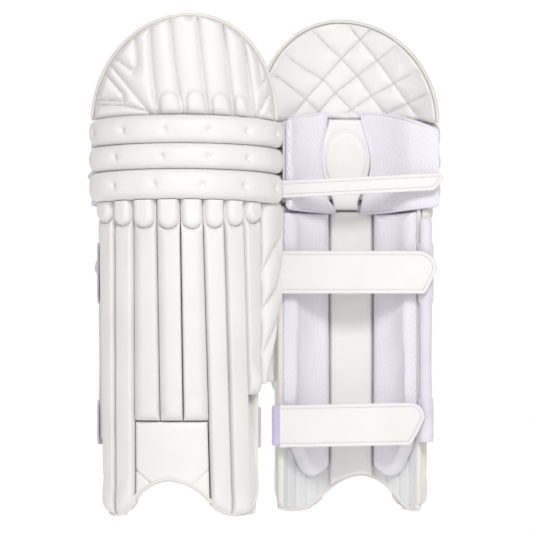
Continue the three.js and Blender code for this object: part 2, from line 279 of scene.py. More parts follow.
def curve(points: list[tuple[float, ...]], count: int) -> Vec:
    """A smooth line through points, by the Catmull-Rom formula.

    Args:
        points: Places that the line passes through.
        count: How many points the line has.

    Returns:
        Array of shape (count, size of a point).
    """
    knots = np.asarray(points, float)
    padded = np.concatenate([[2 * knots[0] - knots[1]], knots, [2 * knots[-1] - knots[-2]]])
    place = np.linspace(0, len(knots) - 1 - 1e-9, count)
    start = place.astype(int)
    t = (place - start)[:, None]
    a, b, c, d = (padded[start + i] for i in range(4))
    return b + 0.5 * t * (c - a + t * (2 * a - 5 * b + 4 * c - d + t * (3 * (b - c) + d - a)))


def even(route: Vec, count: int) -> Vec:
    """A route with its points set at equal distances along it.

    Args:
        route: Array of shape (points, 3).
        count: How many points the result has.

    Returns:
        Array of shape (count, 3).
    """
    run = np.concatenate([[0], np.cumsum(np.linalg.norm(np.diff(route, axis=0), axis=1))])
    there = np.linspace(0, run[-1], count)
    return np.stack([np.interp(there, run, route[:, i]) for i in range(route.shape[1])], axis=1)


def from_lines(x: Vec, z: Vec, lines: list[list[tuple[float, float]]]) -> Vec:
    """How far each place lies from the nearest of some broken lines.

    Args:
        x: Places across.
        z: Places up, the same shape.
        lines: Each line is a list of its corners.

    Returns:
        Distances, the same shape as x.
    """
    nearest = np.full(x.shape, 1e6)
    for line in lines:
        for (x0, z0), (x1, z1) in zip(line[:-1], line[1:]):
            length = max(math.hypot(x1 - x0, z1 - z0), 1e-6)
            share = np.clip(((x - x0) * (x1 - x0) + (z - z0) * (z1 - z0)) / length**2, 0, 1)
            away = np.hypot(x - x0 - share * (x1 - x0), z - z0 - share * (z1 - z0))
            nearest = np.minimum(nearest, away)
    return nearest


@dataclass(frozen=True)
class Stuffing:
    """How thick a cushion is and how its edges round off, in millimetres."""

    low: float
    high: float
    rim: float
    soft: float = 10.0
    soft_back: float = 5.0
    lip: float = 0.6


def cushion(surface: Surface, across: Vec, along: Vec, fill: Stuffing, relief: Vec | float = 0.0) -> Shell:
    """A stuffed panel: two grids that meet at its rim and swell apart between by a quarter circle.

    Args:
        surface: Gives points from a level, a place across and a place along.
        across: Places across, shape (rows, columns).
        along: Places along, the same shape.
        fill: The levels of its back, its front and its rim.
        relief: What is added to the front's level, for seams and folds.

    Returns:
        The closed surface.
    """
    flat = surface(np.full(across.shape, fill.rim), across, along)
    edge = np.minimum.reduce(border_distances(flat))
    swell = rounded(edge / fill.soft)
    front = fill.rim + fill.lip + (fill.high - fill.rim - fill.lip + relief) * swell
    back = fill.rim - fill.lip - (fill.rim - fill.low - fill.lip) * rounded(edge / fill.soft_back)
    return slab(surface(front, across, along), surface(back, across, along))


def route_frame(route: Vec, outward: Vec) -> tuple[Vec, Vec, Vec]:
    """The directions along, beside and out of a route at each of its points.

    Args:
        route: Array of shape (points, 3).
        outward: The way out, one for all or one at each point.

    Returns:
        Unit directions, each of the route's shape.
    """
    along = np.gradient(route, axis=0)
    along /= np.linalg.norm(along, axis=1, keepdims=True)
    beside = np.cross(along, np.broadcast_to(outward, route.shape))
    beside /= np.linalg.norm(beside, axis=1, keepdims=True)
    return along, beside, np.cross(beside, along)


def piping(route: Vec, outward: Vec, width: float, height: float, around: int = 12) -> Shell:
    """A bound edge: an ellipse carried along a route, rounding off over its last few points.

    Args:
        route: Its middle line, shape (points, 3).
        outward: The way that its height faces, one for all or one at each point.
        width: Half its size beside the route.
        height: Half its size outwards.
        around: Points round the ellipse.

    Returns:
        The closed surface.
    """
    _, beside, out = route_frame(route, outward)
    turn = np.linspace(0, 2 * math.pi, around, endpoint=False)
    steps = np.arange(len(route))
    size = 0.15 + 0.85 * rounded(np.minimum(steps, steps[::-1]) / 3)
    cosines, sines = np.cos(turn)[None, :, None], np.sin(turn)[None, :, None]
    reach = size[:, None, None] * (width * cosines * beside[:, None] + height * sines * out[:, None])
    return tube(route[:, None] + reach)


def stitching(
    route: Vec, outward: Vec, pitch: float = 4.2, length: float = 3.0, thick: float = 0.42
) -> Shell:
    """A row of separate stitches: a small six-sided capsule repeated along a route.

    Args:
        route: Where the stitches lie, shape (points, 3).
        outward: The way that the cloth faces, one for all or one at each point.
        pitch: From one stitch to the next.
        length: A stitch's length.
        thick: Half a stitch's thickness.

    Returns:
        One Shell that holds every stitch.
    """
    run = np.linalg.norm(np.diff(route, axis=0), axis=1).sum()
    count = max(2, int(run / pitch))
    facing = even(np.broadcast_to(outward, route.shape) + 1e-6 * np.arange(len(route))[:, None], count)
    middle = even(route, count)
    along, beside, out = route_frame(middle, facing)
    turn = np.linspace(0, 2 * math.pi, 6, endpoint=False)
    places = np.array([-0.5, -0.36, 0.36, 0.5]) * length
    sizes = np.array([0.35, 1.0, 1.0, 0.35]) * thick
    rings = (
        middle[:, None, None]
        + places[None, :, None, None] * along[:, None, None]
        + (sizes[:, None] * np.cos(turn))[None, ..., None] * beside[:, None, None]
        + (sizes[:, None] * np.sin(turn))[None, ..., None] * out[:, None, None]
    )
    one = tube(rings[0])
    ends = rings[:, [0, -1]].mean(axis=2)
    points = np.concatenate([rings.reshape(count, -1, 3), ends], axis=1)
    shift = (np.arange(count) * points.shape[1])[:, None, None]
    return Shell(
        points.reshape(-1, 3),
        (one.quads[None] + shift).reshape(-1, 4),
        (one.tris[None] + shift).reshape(-1, 3),
        np.tile(one.quad_uv, (count, 1, 1)),
        np.tile(one.tri_uv, (count, 1, 1)),
    )


# ------------------------------------------------------------------------------------ finishes


class Board:
    """A material's node tree, with a short way to add a node and link it."""

    def __init__(self, name: str) -> None:
        """Starts a material with a single principled shader."""
        self.material = bpy.data.materials.new(name)
        self.material.use_nodes = True
        self.tree = self.material.node_tree
        self.shader = self.tree.nodes["Principled BSDF"]

    def add(self, kind: str, settings: dict | None = None, **inputs: object) -> bpy.types.Node:
        """Adds a node.

        Args:
            kind: The node's type.
            settings: Its own settings, by name.
            inputs: Its inputs by name, with _ for a space, or in0, in1 and so on by number. A value is
                a number, a tuple or another node's output.

        Returns:
            The new node.
        """
        node = self.tree.nodes.new(kind)
        for key, value in (settings or {}).items():
            setattr(node, key, value)
        for key, value in inputs.items():
            numbered = key.startswith("in") and key[2:].isdigit()
            socket = node.inputs[int(key[2:]) if numbered else key.replace("_", " ")]
            if isinstance(value, bpy.types.NodeSocket):
                self.tree.links.new(value, socket)
            else:
                socket.default_value = value
        return node

    def math(self, operation: str, first: object, second: object = 0.0) -> bpy.types.NodeSocket:
        """The output of one Math node."""
        return self.add("ShaderNodeMath", {"operation": operation}, in0=first, in1=second).outputs[0]

    def noise(self, place: bpy.types.NodeSocket, scale: float, detail: float = 3.0) -> bpy.types.NodeSocket:
        """Smooth noise from 0 to 1 at a place, with its scale per metre."""
        return self.add("ShaderNodeTexNoise", Vector=place, Scale=scale, Detail=detail).outputs["Fac"]

    def spread(
        self, value: object, low: float, high: float, start: float = 0.0, end: float = 1.0
    ) -> bpy.types.NodeSocket:
        """A value between start and end stretched to run from low to high.

        Args:
            value: A number or another node's output.
            low: The result at start.
            high: The result at end.
            start: Where the value's own range starts.
            end: Where it ends.

        Returns:
            The stretched value.
        """
        ends = {"From_Min": start, "From_Max": end, "To_Min": low, "To_Max": high}
        return self.add("ShaderNodeMapRange", Value=value, **ends).outputs[0]

    def blend(self, share: object, first: tuple, second: tuple) -> bpy.types.NodeSocket:
        """A colour between two."""
        node = self.add("ShaderNodeMix", {"data_type": "RGBA"}, in0=share, in6=(*first, 1), in7=(*second, 1))
        return node.outputs[2]

    def object_place(self) -> bpy.types.NodeSocket:
        """The place inside the piece."""
        return self.add("ShaderNodeTexCoord").outputs["Object"]

    def cloth_place(self) -> bpy.types.NodeSocket:
        """The place on the piece's cloth, in metres."""
        return self.add("ShaderNodeTexCoord").outputs["UV"]

    def bump(
        self, height: object, depth: float, strength: float = 1.0, under: object | None = None
    ) -> bpy.types.NodeSocket:
        """A bump whose full height is depth metres.

        Args:
            height: The height from 0 to 1.
            depth: The full height in metres.
            strength: How much of it shows.
            under: A coarser bump that this one lies on.

        Returns:
            The normal that it makes.
        """
        node = self.add("ShaderNodeBump", Height=height, Distance=depth, Strength=strength)
        if under is not None:
            self.tree.links.new(under, node.inputs["Normal"])
        return node.outputs["Normal"]

    def finish(
        self, colour: object, roughness: object, normal: object, **fixed: object
    ) -> bpy.types.Material:
        """Joins the patterns to the shader and sets its fixed values.

        Args:
            colour: The colour's output.
            roughness: The roughness's output.
            normal: The normal's output.
            fixed: Numbers for the shader's other inputs, with _ for a space.

        Returns:
            The finished material.
        """
        for key, value in {"Base Color": colour, "Roughness": roughness, "Normal": normal}.items():
            self.tree.links.new(value, self.shader.inputs[key])
        for key, value in fixed.items():
            self.shader.inputs[key.replace("_", " ")].default_value = value
        return self.material


@dataclass(frozen=True)
class Leather:
    """White synthetic leather with a pebbled grain, soft creases and a little greying in random patches."""

    name: str
    light: tuple[float, float, float] = (0.80, 0.785, 0.765)
    dull: tuple[float, float, float] = (0.735, 0.715, 0.695)
    grain: float = 620.0
    depth: float = 0.00022
    roughness: float = 0.44
    crease: float = 0.0007

    def build(self) -> bpy.types.Material:
        """Pebbles from the distance to the nearest cell's edge, on slow creases from noise.

        Returns:
            The new material.
        """
        board = Board(self.name)
        place = board.object_place()
        cells = board.add(
            "ShaderNodeTexVoronoi", {"feature": "DISTANCE_TO_EDGE"}, Vector=place, Scale=self.grain
        ).outputs["Distance"]
        patches = board.noise(place, 9.0, 4.0)
        fine = board.noise(place, 1500.0, 2.0)
        slow = board.noise(place, 42.0, 5.0)
        share = board.math("ADD", board.spread(patches, 0.0, 0.7, 0.35, 0.7), board.spread(fine, 0.0, 0.3))
        creased = board.bump(slow, self.crease, 0.5)
        pebbled = board.bump(board.spread(cells, 0.0, 1.0, 0.0, 0.35), self.depth, 0.55, creased)
        rough = board.spread(fine, self.roughness - 0.06, self.roughness + 0.10)
        colour = board.blend(share, self.light, self.dull)
        return board.finish(
            colour, rough, pebbled, Specular_IOR_Level=0.42, Coat_Weight=0.06, Coat_Roughness=0.35
        )


@dataclass(frozen=True)
class Woven:
    """Cloth of crossed yarns: a plain weave of the given yarn spacing."""

    name: str
    light: tuple[float, float, float]
    dark: tuple[float, float, float]
    pitch: float = 0.0011
    depth: float = 0.00030
    roughness: float = 0.82
    sheen: float = 0.12

    def build(self) -> bpy.types.Material:
        """Yarns from the product of two sines, one along each direction of the cloth.

        Returns:
            The new material.
        """
        board = Board(self.name)
        place = board.cloth_place()
        split = board.add("ShaderNodeSeparateXYZ", Vector=place)
        turns = 2 * math.pi / self.pitch
        warp = board.math("SINE", board.math("MULTIPLY", split.outputs[0], turns))
        weft = board.math("SINE", board.math("MULTIPLY", split.outputs[1], turns))
        weave = board.spread(board.math("MULTIPLY", warp, weft), 0.0, 1.0, -1.0, 1.0)
        patches = board.noise(board.object_place(), 14.0, 4.0)
        fuzz = board.noise(board.object_place(), 900.0, 2.0)
        share = board.math(
            "ADD", board.spread(weave, 0.45, 0.0), board.spread(patches, 0.0, 0.55, 0.35, 0.7)
        )
        rough = board.spread(fuzz, self.roughness - 0.05, self.roughness + 0.1)
        soft = board.bump(fuzz, 0.00018, 0.5)
        colour = board.blend(share, self.light, self.dark)
        woven = board.bump(weave, self.depth, 0.8, soft)
        return board.finish(colour, rough, woven, Sheen_Weight=self.sheen, Sheen_Roughness=0.5)


@dataclass(frozen=True)
class SpacerMesh:
    """Lavender-white spacer mesh: staggered round holes between glossy threads, with painted shade in the
    holes.
    """

    name: str = "spacer_mesh"
    thread: tuple[float, float, float] = (0.90, 0.885, 0.93)
    # The hole colour is painted shade: the holes are coloured darker than the threads, for the shaded depth
    # seen through them.
    hole: tuple[float, float, float] = (0.60, 0.56, 0.71)
    pitch: float = 0.0028
    depth: float = 0.0009

    def build(self) -> bpy.types.Material:
        """Holes where the sum of three cosines, at sixty degrees to one another, is high.

        Returns:
            The new material.
        """
        board = Board(self.name)
        place = board.cloth_place()
        waves = None
        number = 2 * math.pi / (self.pitch * math.sqrt(3) / 2)
        for degrees in (0.0, 60.0, 120.0):
            way = (number * math.cos(math.radians(degrees)), number * math.sin(math.radians(degrees)), 0.0)
            dot = board.add("ShaderNodeVectorMath", {"operation": "DOT_PRODUCT"}, in0=place, in1=way)
            wave = board.math("COSINE", dot.outputs["Value"])
            waves = wave if waves is None else board.math("ADD", waves, wave)
        hole = board.spread(waves, 0.0, 1.0, 0.1, 1.6)
        fuzz = board.noise(board.object_place(), 1300.0, 2.0)
        patches = board.noise(board.object_place(), 11.0, 3.0)
        # How much painted shade each hole gets, varied at random by slow patches.
        share = board.math("MULTIPLY", hole, board.spread(patches, 0.55, 1.0, 0.3, 0.7))
        height = board.math("SUBTRACT", board.spread(fuzz, 0.9, 1.1), hole)
        colour = board.blend(share, self.thread, self.hole)
        rough = board.spread(fuzz, 0.62, 0.82)
        pierced = board.bump(height, self.depth, 0.75)
        return board.finish(colour, rough, pierced, Sheen_Weight=0.2, Sheen_Roughness=0.4)


@dataclass(frozen=True)
class Ribbed:
    """Narrow woven band with ribs across it, for elastic and for binding tape."""

    name: str
    light: tuple[float, float, float]
    dark: tuple[float, float, float]
    pitch: float
    depth: float
    along: int = 1
    roughness: float = 0.7

    def build(self) -> bpy.types.Material:
        """Ribs from a sine along one direction of the cloth, with fine fibres over them.

        Returns:
            The new material.
        """
        board = Board(self.name)
        split = board.add("ShaderNodeSeparateXYZ", Vector=board.cloth_place())
        wave = board.math("SINE", board.math("MULTIPLY", split.outputs[self.along], 2 * math.pi / self.pitch))
        ribs = board.spread(wave, 0.0, 1.0, -1.0, 1.0)
        fibres = board.noise(board.object_place(), 1100.0, 3.0)
        patches = board.noise(board.object_place(), 25.0, 3.0)
        share = board.math("ADD", board.spread(ribs, 0.6, 0.0), board.spread(patches, 0.0, 0.4, 0.3, 0.7))
        under = board.bump(fibres, 0.00015, 0.5)
        colour = board.blend(share, self.light, self.dark)
        rough = board.spread(fibres, self.roughness - 0.08, self.roughness + 0.12)
        return board.finish(colour, rough, board.bump(ribs, self.depth, 0.8, under), Sheen_Weight=0.15)


@dataclass(frozen=True)
class Pile:
    """Soft fuzz or foam: fine noise over slow clumps."""

    name: str
    light: tuple[float, float, float]
    dark: tuple[float, float, float]
    clumps: float = 420.0
    depth: float = 0.0008

    def build(self) -> bpy.types.Material:
        """Clumps and fibres from two sizes of noise.

        Returns:
            The new material.
        """
        board = Board(self.name)
        place = board.object_place()
        clumps = board.noise(place, self.clumps, 5.0)
        slow = board.noise(place, 20.0, 3.0)
        share = board.spread(board.math("ADD", clumps, slow), 0.0, 1.0, 0.7, 1.3)
        colour = board.blend(share, self.light, self.dark)
        rough = board.spread(clumps, 0.8, 0.98)
        return board.finish(colour, rough, board.bump(clumps, self.depth, 0.8), Sheen_Weight=0.3)


@dataclass(frozen=True)
class Cane:
    """Split cane with long fibres up its length."""

    name: str = "split_cane"
    light: tuple[float, float, float] = (0.62, 0.42, 0.20)
    dark: tuple[float, float, float] = (0.36, 0.20, 0.08)

    def build(self) -> bpy.types.Material:
        """Fibres from noise that is drawn out upwards.

        Returns:
            The new material.
        """
        board = Board(self.name)
        drawn = board.add("ShaderNodeMapping", Vector=board.object_place(), Scale=(900.0, 900.0, 18.0))
        fibres = board.noise(drawn.outputs[0], 1.0, 5.0)
        colour = board.blend(board.spread(fibres, 0.0, 1.0, 0.35, 0.65), self.light, self.dark)
        rough = board.spread(fibres, 0.4, 0.65)
        return board.finish(colour, rough, board.bump(fibres, 0.0003, 0.7), Coat_Weight=0.1)


class Finish(Enum):
    """Every finish on the pads, each paired with a slot name that nothing else here uses."""

    FACE = ("face", Leather("face_leather"))
    SMOOTH = (
        "smooth",
        Leather(
            "smooth_leather",
            light=(0.83, 0.82, 0.80),
            dull=(0.77, 0.755, 0.74),
            grain=950.0,
            depth=0.00012,
        ),
    )
    STRAP = (
        "strap",
        Leather(
            "strap_leather",
            light=(0.82, 0.81, 0.80),
            dull=(0.76, 0.75, 0.745),
            grain=800.0,
            crease=0.0004,
        ),
    )
    BINDING = (
        "strap",
        Ribbed("binding_tape", (0.84, 0.82, 0.775), (0.70, 0.67, 0.62), 0.0012, 0.00016, roughness=0.5),
    )
    LINING = ("lining", Woven("woven_lining", (0.83, 0.83, 0.83), (0.71, 0.71, 0.72)))
    QUILT = ("lining", Woven("quilted_lining", (0.88, 0.875, 0.865), (0.79, 0.78, 0.77), 0.0009, 0.00018))
    MESH = ("mesh", SpacerMesh())
    MESH_EDGE = ("mesh", Woven("mesh_edge_tape", (0.82, 0.805, 0.88), (0.72, 0.70, 0.81), 0.0010, 0.00018))
    TUBE_CLOTH = ("mesh", Woven("side_roll_cloth", (0.79, 0.77, 0.82), (0.68, 0.65, 0.72), 0.0010, 0.00016))
    ELASTIC = ("elastic", Ribbed("ribbed_elastic", (0.68, 0.65, 0.83), (0.52, 0.48, 0.70), 0.0018, 0.0005))
    LOOP = ("elastic", Pile("loop_pile", (0.74, 0.725, 0.79), (0.62, 0.60, 0.68)))
    THREAD = ("strap", Ribbed("sewing_thread", (0.70, 0.69, 0.68), (0.52, 0.51, 0.50), 0.0006, 0.0002))
    GREY_THREAD = (
        "lining",
        Ribbed("quilting_thread", (0.68, 0.67, 0.67), (0.54, 0.53, 0.53), 0.0006, 0.0002),
    )
    FOAM = ("smooth", Pile("backing_foam", (0.76, 0.755, 0.75), (0.66, 0.655, 0.65), 700.0, 0.0004))
    CANE = ("cane", Cane())

    @property
    def slot(self) -> str:
        """The slot name paired with the finish; nothing else here reads it."""
        return self.value[0]

    def material(self) -> bpy.types.Material:
        """The finish's material, made the first time that it is asked for."""
        recipe = self.value[1]
        return bpy.data.materials.get(recipe.name) or recipe.build()


# ------------------------------------------------------------------------------------ a pad's place


@dataclass(frozen=True)
class Place:
    """Where one pad stands, and which way it faces, in millimetres of the frame."""

    side: str
    x: float
    y: float
    turn: float

    @classmethod
    def of(cls, side: str) -> Place:
        """The place of a pad, from its knee joint's position and the sign of its axis.

        Args:
            side: The pad's side, left or right.

        Returns:
            Its place.
        """
        knee = next(joint for joint in frame["joints"] if joint["name"] == f"{side}_knee_flex")
        turn = -math.copysign(1.0, knee["axis"][0])
        return cls(side, knee["pos_m"][0] * 1000, knee["pos_m"][1] * 1000 - HINGE_Y * turn, turn)

    def world(self, points: Vec) -> Vec:
        """A pad's own millimetres as metres of the frame."""
        return (np.asarray(points, float) * (self.turn, self.turn, 1) + (self.x, self.y, 0)) / 1000

    def joint(self, name: str) -> Vec:
        """Where a joint of this pad is, in the pad's own millimetres.

        Args:
            name: The joint's name without its side.

        Returns:
            Its place, as x, y and z.
        """
        joint = next(joint for joint in frame["joints"] if joint["name"] == f"{self.side}_{name}")
        away = np.array(joint["pos_m"]) * 1000 - (self.x, self.y, 0)
        return away * (self.turn, self.turn, 1)

    def box(self, node: str) -> tuple[Vec, Vec]:
        """The lowest and highest corners of a CAD node, in the pad's own millimetres.

        Args:
            node: The node's name without its side.

        Returns:
            The lowest and the highest corner.
        """
        corners = np.array([tuple(corner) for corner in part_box(f"{self.side}_{node}")]) * 1000
        local = (corners - (self.x, self.y, 0)) * (self.turn, self.turn, 1)
        return local.min(axis=0), local.max(axis=0)


@dataclass(frozen=True)
class Bend:
    """Two bodies that a soft piece lies between, and where it would start and stop turning from one to the
    other; the piece is neither bent nor tied to them.
    """

    before: str
    after: str
    start: tuple[float, float, float]
    end: tuple[float, float, float]


@dataclass
class Bench:
    """Turns shells into finished Blender pieces of one pad."""

    place: Place
    made: list[str] = field(default_factory=list)

    def piece(
        self,
        name: str,
        shell: Shell,
        finish: Finish,
        body: str | Bend,
        nodes: tuple[str, ...] = (),
        fill: float | None = None,
    ) -> bpy.types.Object:
        """Makes one piece and ties it to a body of the frame, or leaves it loose when it lies across a bend.

        Args:
            name: The piece's name, without its side.
            shell: Its surface in the pad's own millimetres.
            finish: What it is made of.
            body: The body that it rides on, or a bend that it lies across, in which case it is tied to no
                body and does not bend.
            nodes: CAD nodes that it stands for.
            fill: How tight its stuffing is, for a padded piece; not used.

        Returns:
            The new object.
        """
        side = self.place.side
        mesh = bpy.data.meshes.new(f"{side}_{name}_visual")
        points = self.place.world(shell.points)
        mesh.vertices.add(len(points))
        mesh.vertices.foreach_set("co", points.ravel())
        corners = np.concatenate([shell.quads.ravel(), shell.tris.ravel()])
        sizes = np.concatenate([np.full(len(shell.quads), 4), np.full(len(shell.tris), 3)])
        mesh.loops.add(len(corners))
        mesh.loops.foreach_set("vertex_index", corners)
        mesh.polygons.add(len(sizes))
        mesh.polygons.foreach_set("loop_start", np.cumsum(sizes) - sizes)
        mesh.polygons.foreach_set("use_smooth", np.ones(len(sizes), bool))
        cloth = mesh.uv_layers.new(name="cloth")
        uv = np.concatenate([shell.quad_uv.reshape(-1, 2), shell.tri_uv.reshape(-1, 2)])
        cloth.data.foreach_set("uv", uv.ravel())
        mesh.update(calc_edges=True)
        mesh.materials.append(finish.material())
        piece = bpy.data.objects.new(f"{side}_{name}_visual", mesh)
        bpy.context.scene.collection.objects.link(piece)
        if nodes:
            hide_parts(*[f"{side}_{node}" for node in nodes])
        if isinstance(body, Bend):
            start, end = (tuple(self.place.world(place)) for place in (body.start, body.end))
            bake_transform(piece)
        else:
            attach(piece, f"{side}_{body}")
        self.made.append(name)
        log.info("made %s", piece.name)
        return piece


# ------------------------------------------------------------------------------------ shin


@dataclass
class ToeEdge:
    """The pad's bottom edge seen from the front: two round toes with the instep's arch between them."""

    corners: tuple[tuple[float, float], ...] = (
        (-120.5, 62),
        (-119, 24),
        (-107, 5),
        (-92, 1),
        (-79, 11),
        (-55, 38.5),
        (-33, 51.5),
        (-10, 54.5),
        (22, 42),
        (57, 12),
        (72, 2.5),
        (88, 0.8),
        (108, 6),
        (120.5, 28),
        (122, 62),
    )
    steps: int = 280

    def height(self, x: Vec) -> Vec:
        """The edge's height at a place across the pad."""
        line = curve(list(self.corners), self.steps)
        return np.interp(x, np.maximum.accumulate(line[:, 0] + 1e-6 * np.arange(self.steps)), line[:, 1])

    def foot(self, radius: float, angle: Vec, start: float, drifts: bool = True) -> Vec:
        """Heights at which a cloth bent round the leg meets the edge, found by going back and forth.

        Args:
            radius: The cloth's distance from the leg's axis.
            angle: Angles across the cloth, shape (1, columns).
            start: The height to begin from.
            drifts: Whether the cloth's angles drift on their way down.

        Returns:
            The heights, the same shape as angle.
        """
        z = np.full(angle.shape, start)
        for _ in range(4):
            turned = drifted(angle, z) if drifts else angle
            z = 0.5 * (z + self.height(radius * np.sin(np.radians(turned))))
        return z


@dataclass
class Ribs:
    """Eight padded ribs, each with a long outer slope, a bulb under the knee and a soft lower end."""

    toe: ToeEdge = field(default_factory=ToeEdge)
    base: float = 129.8
    back: float = 119.9
    crest: float = 10.0
    gap: float = 0.22
    slopes: tuple[float, ...] = (0.30, 0.30, 0.44, 0.43, 0.44, 0.26, 0.22, 0.16)
    tops: float = 470.5
    bulb: float = 13.6
    bulb_foot: float = 427.0
    cane_room: float = 4.6
    cane_back: float = 128.6
    instep_ribs: tuple[int, ...] = (2, 3, 4)
    instep_foot: float = 143.0
    short_rib: int = 7
    short_foot: float = 180.0
    rows: int = 126
    columns: int = 30

    def profile(self, share: Vec, slope: float) -> Vec:
        """A rib's height from its inner seam at 0 to its outer seam at 1: a steep rise, a crest, a slope.

        Args:
            share: Places across the rib.
            slope: The share of the rib's width that its slope takes.

        Returns:
            Heights above the rib's base, the same shape as share.
        """
        rise = rounded(share / 0.09)
        fall = np.sin(0.5 * math.pi * np.clip((1 - share) / slope, 0, 1)) ** 0.85
        return self.crest * np.minimum(rise, fall) + 0.8 * np.sin(math.pi * share)

    def shell(self, index: int) -> Shell:
        """One rib.

        Args:
            index: 0 for the rib furthest from the wing, to 7 for the rib beside it.

        Returns:
            Its closed surface, with a groove up its back for its cane.
        """
        start, end = RIB_SEAMS[index] + self.gap, RIB_SEAMS[index + 1] - self.gap
        middle = (start + end) / 2
        across = spaced(self.columns, 0.55)[None, :]
        angle = start + (end - start) * across + np.zeros((self.rows, 1))
        width = math.radians(end - start) * self.base
        top = self.tops - droop(angle[:1])
        if index in self.instep_ribs:
            foot, swell, crease = np.full(top.shape, self.instep_foot), 2.4, 36.0
        elif index == self.short_rib:
            foot, swell, crease = np.full(top.shape, self.short_foot), 5.2, 52.0
        else:
            foot, swell, crease = self.toe.foot(self.base + 7, angle[:1], 20.0), 2.2, 48.0
        up = np.concatenate(
            [np.linspace(0, 0.06, 20)[:-1], np.linspace(0.06, 0.86, 52)[:-1], np.linspace(0.86, 1, 56)]
        )
        z = foot + (top - foot) * up[:, None]
        x = (across - 0.5) * width
        share = across if middle > 0 else 1 - across
        body = self.profile(share, self.slopes[index]) * np.ones((self.rows, 1))
        # The bulb is a capsule that hangs from the rib's top: its depth inside its outline sets its height.
        radius = 0.455 * width
        centre = self.bulb_foot + 9 * (middle / 55) ** 2 + radius
        inside = radius - np.where(z > centre, np.abs(x) + 0 * z, np.hypot(x, z - centre))
        hang = self.bulb * rounded(inside / 9.5) - 1.2 * np.exp(-(((z - centre - 14) / 9) ** 2))
        below = body * (1 - np.exp(np.minimum(inside, 0) / 3.2))
        height = np.where(inside > 0, np.maximum(hang, 0), below)
        away = z - foot
        height += swell * np.exp(-(((away - 0.45 * crease) / (0.3 * crease)) ** 2)) * np.sin(math.pi * across)
        height -= 1.6 * np.exp(-(((away - crease) / 4) ** 2)) * np.sin(math.pi * across)
        height *= rounded(away / 13)
        wave = 0.35 * np.sin(z / 23 + index) + 0.25 * np.sin(z / 11.3 + 2.1 * index)
        outer = self.base - 4 * (1 - rounded(away / 8)) + height + wave * np.sin(math.pi * across)
        offset = np.abs(np.radians(angle - middle)) * self.cane_back
        inner = np.where(offset < self.cane_room, self.cane_back - 1.2, self.back)
        inner = np.minimum(inner, outer - 1.0)
        return slab(on_leg(outer, drifted(angle, z), z), on_leg(inner, drifted(angle, z), z))

    def build(self, bench: Bench) -> None:
        """Makes the eight ribs.

        Args:
            bench: The bench that makes the pad's pieces.
        """
        for index in range(len(RIB_SEAMS) - 1):
            name = f"rib_{index + 1}"
            bench.piece(name, self.shell(index), Finish.FACE, "shin", (name,), fill=0.8)


@dataclass
class Instep:
    """The reinforced panel over the foot, with a small folded gusset at each lower corner."""

    toe: ToeEdge = field(default_factory=ToeEdge)
    base: float = 122.0
    crest: float = 132.5
    top: float = 141.5
    gussets: tuple = (((-73, 77), (-43, 50)), ((52, 77), (21, 49)))
    rows: int = 70
    columns: int = 90

    def build(self, bench: Bench) -> None:
        """A crowned panel whose corners are pressed down outside two slanting seams.

        Args:
            bench: The bench that makes the pad's pieces.
        """
        start, end = RIB_SEAMS[2] + 0.4, RIB_SEAMS[5] - 0.4
        angle = start + (end - start) * spaced(self.columns)[None, :] + np.zeros((self.rows, 1))
        reach = self.crest - 3
        foot = self.toe.foot(reach, angle[:1], 40.0)
        z = foot + (self.top - foot) * spaced(self.rows)[:, None]
        x = reach * np.sin(np.radians(drifted(angle, z)))
        seam = from_lines(x, z, [list(line) for line in self.gussets])
        relief = -3.4 * np.exp(-((seam / 2.0) ** 2)) - 1.0 * smoothed((70 - z) / 40)
        relief = relief + 0.5 * np.sin(x / 17) * np.sin(z / 19)
        fill = Stuffing(self.base - 2.2, self.crest, self.base + 3, soft=9)
        shell = cushion(lambda level, a, h: on_leg(level, drifted(a, h), h), angle, z, fill, relief)
        bench.piece("instep_panel", shell, Finish.SMOOTH, "shin", ("instep_panel",), fill=0.5)


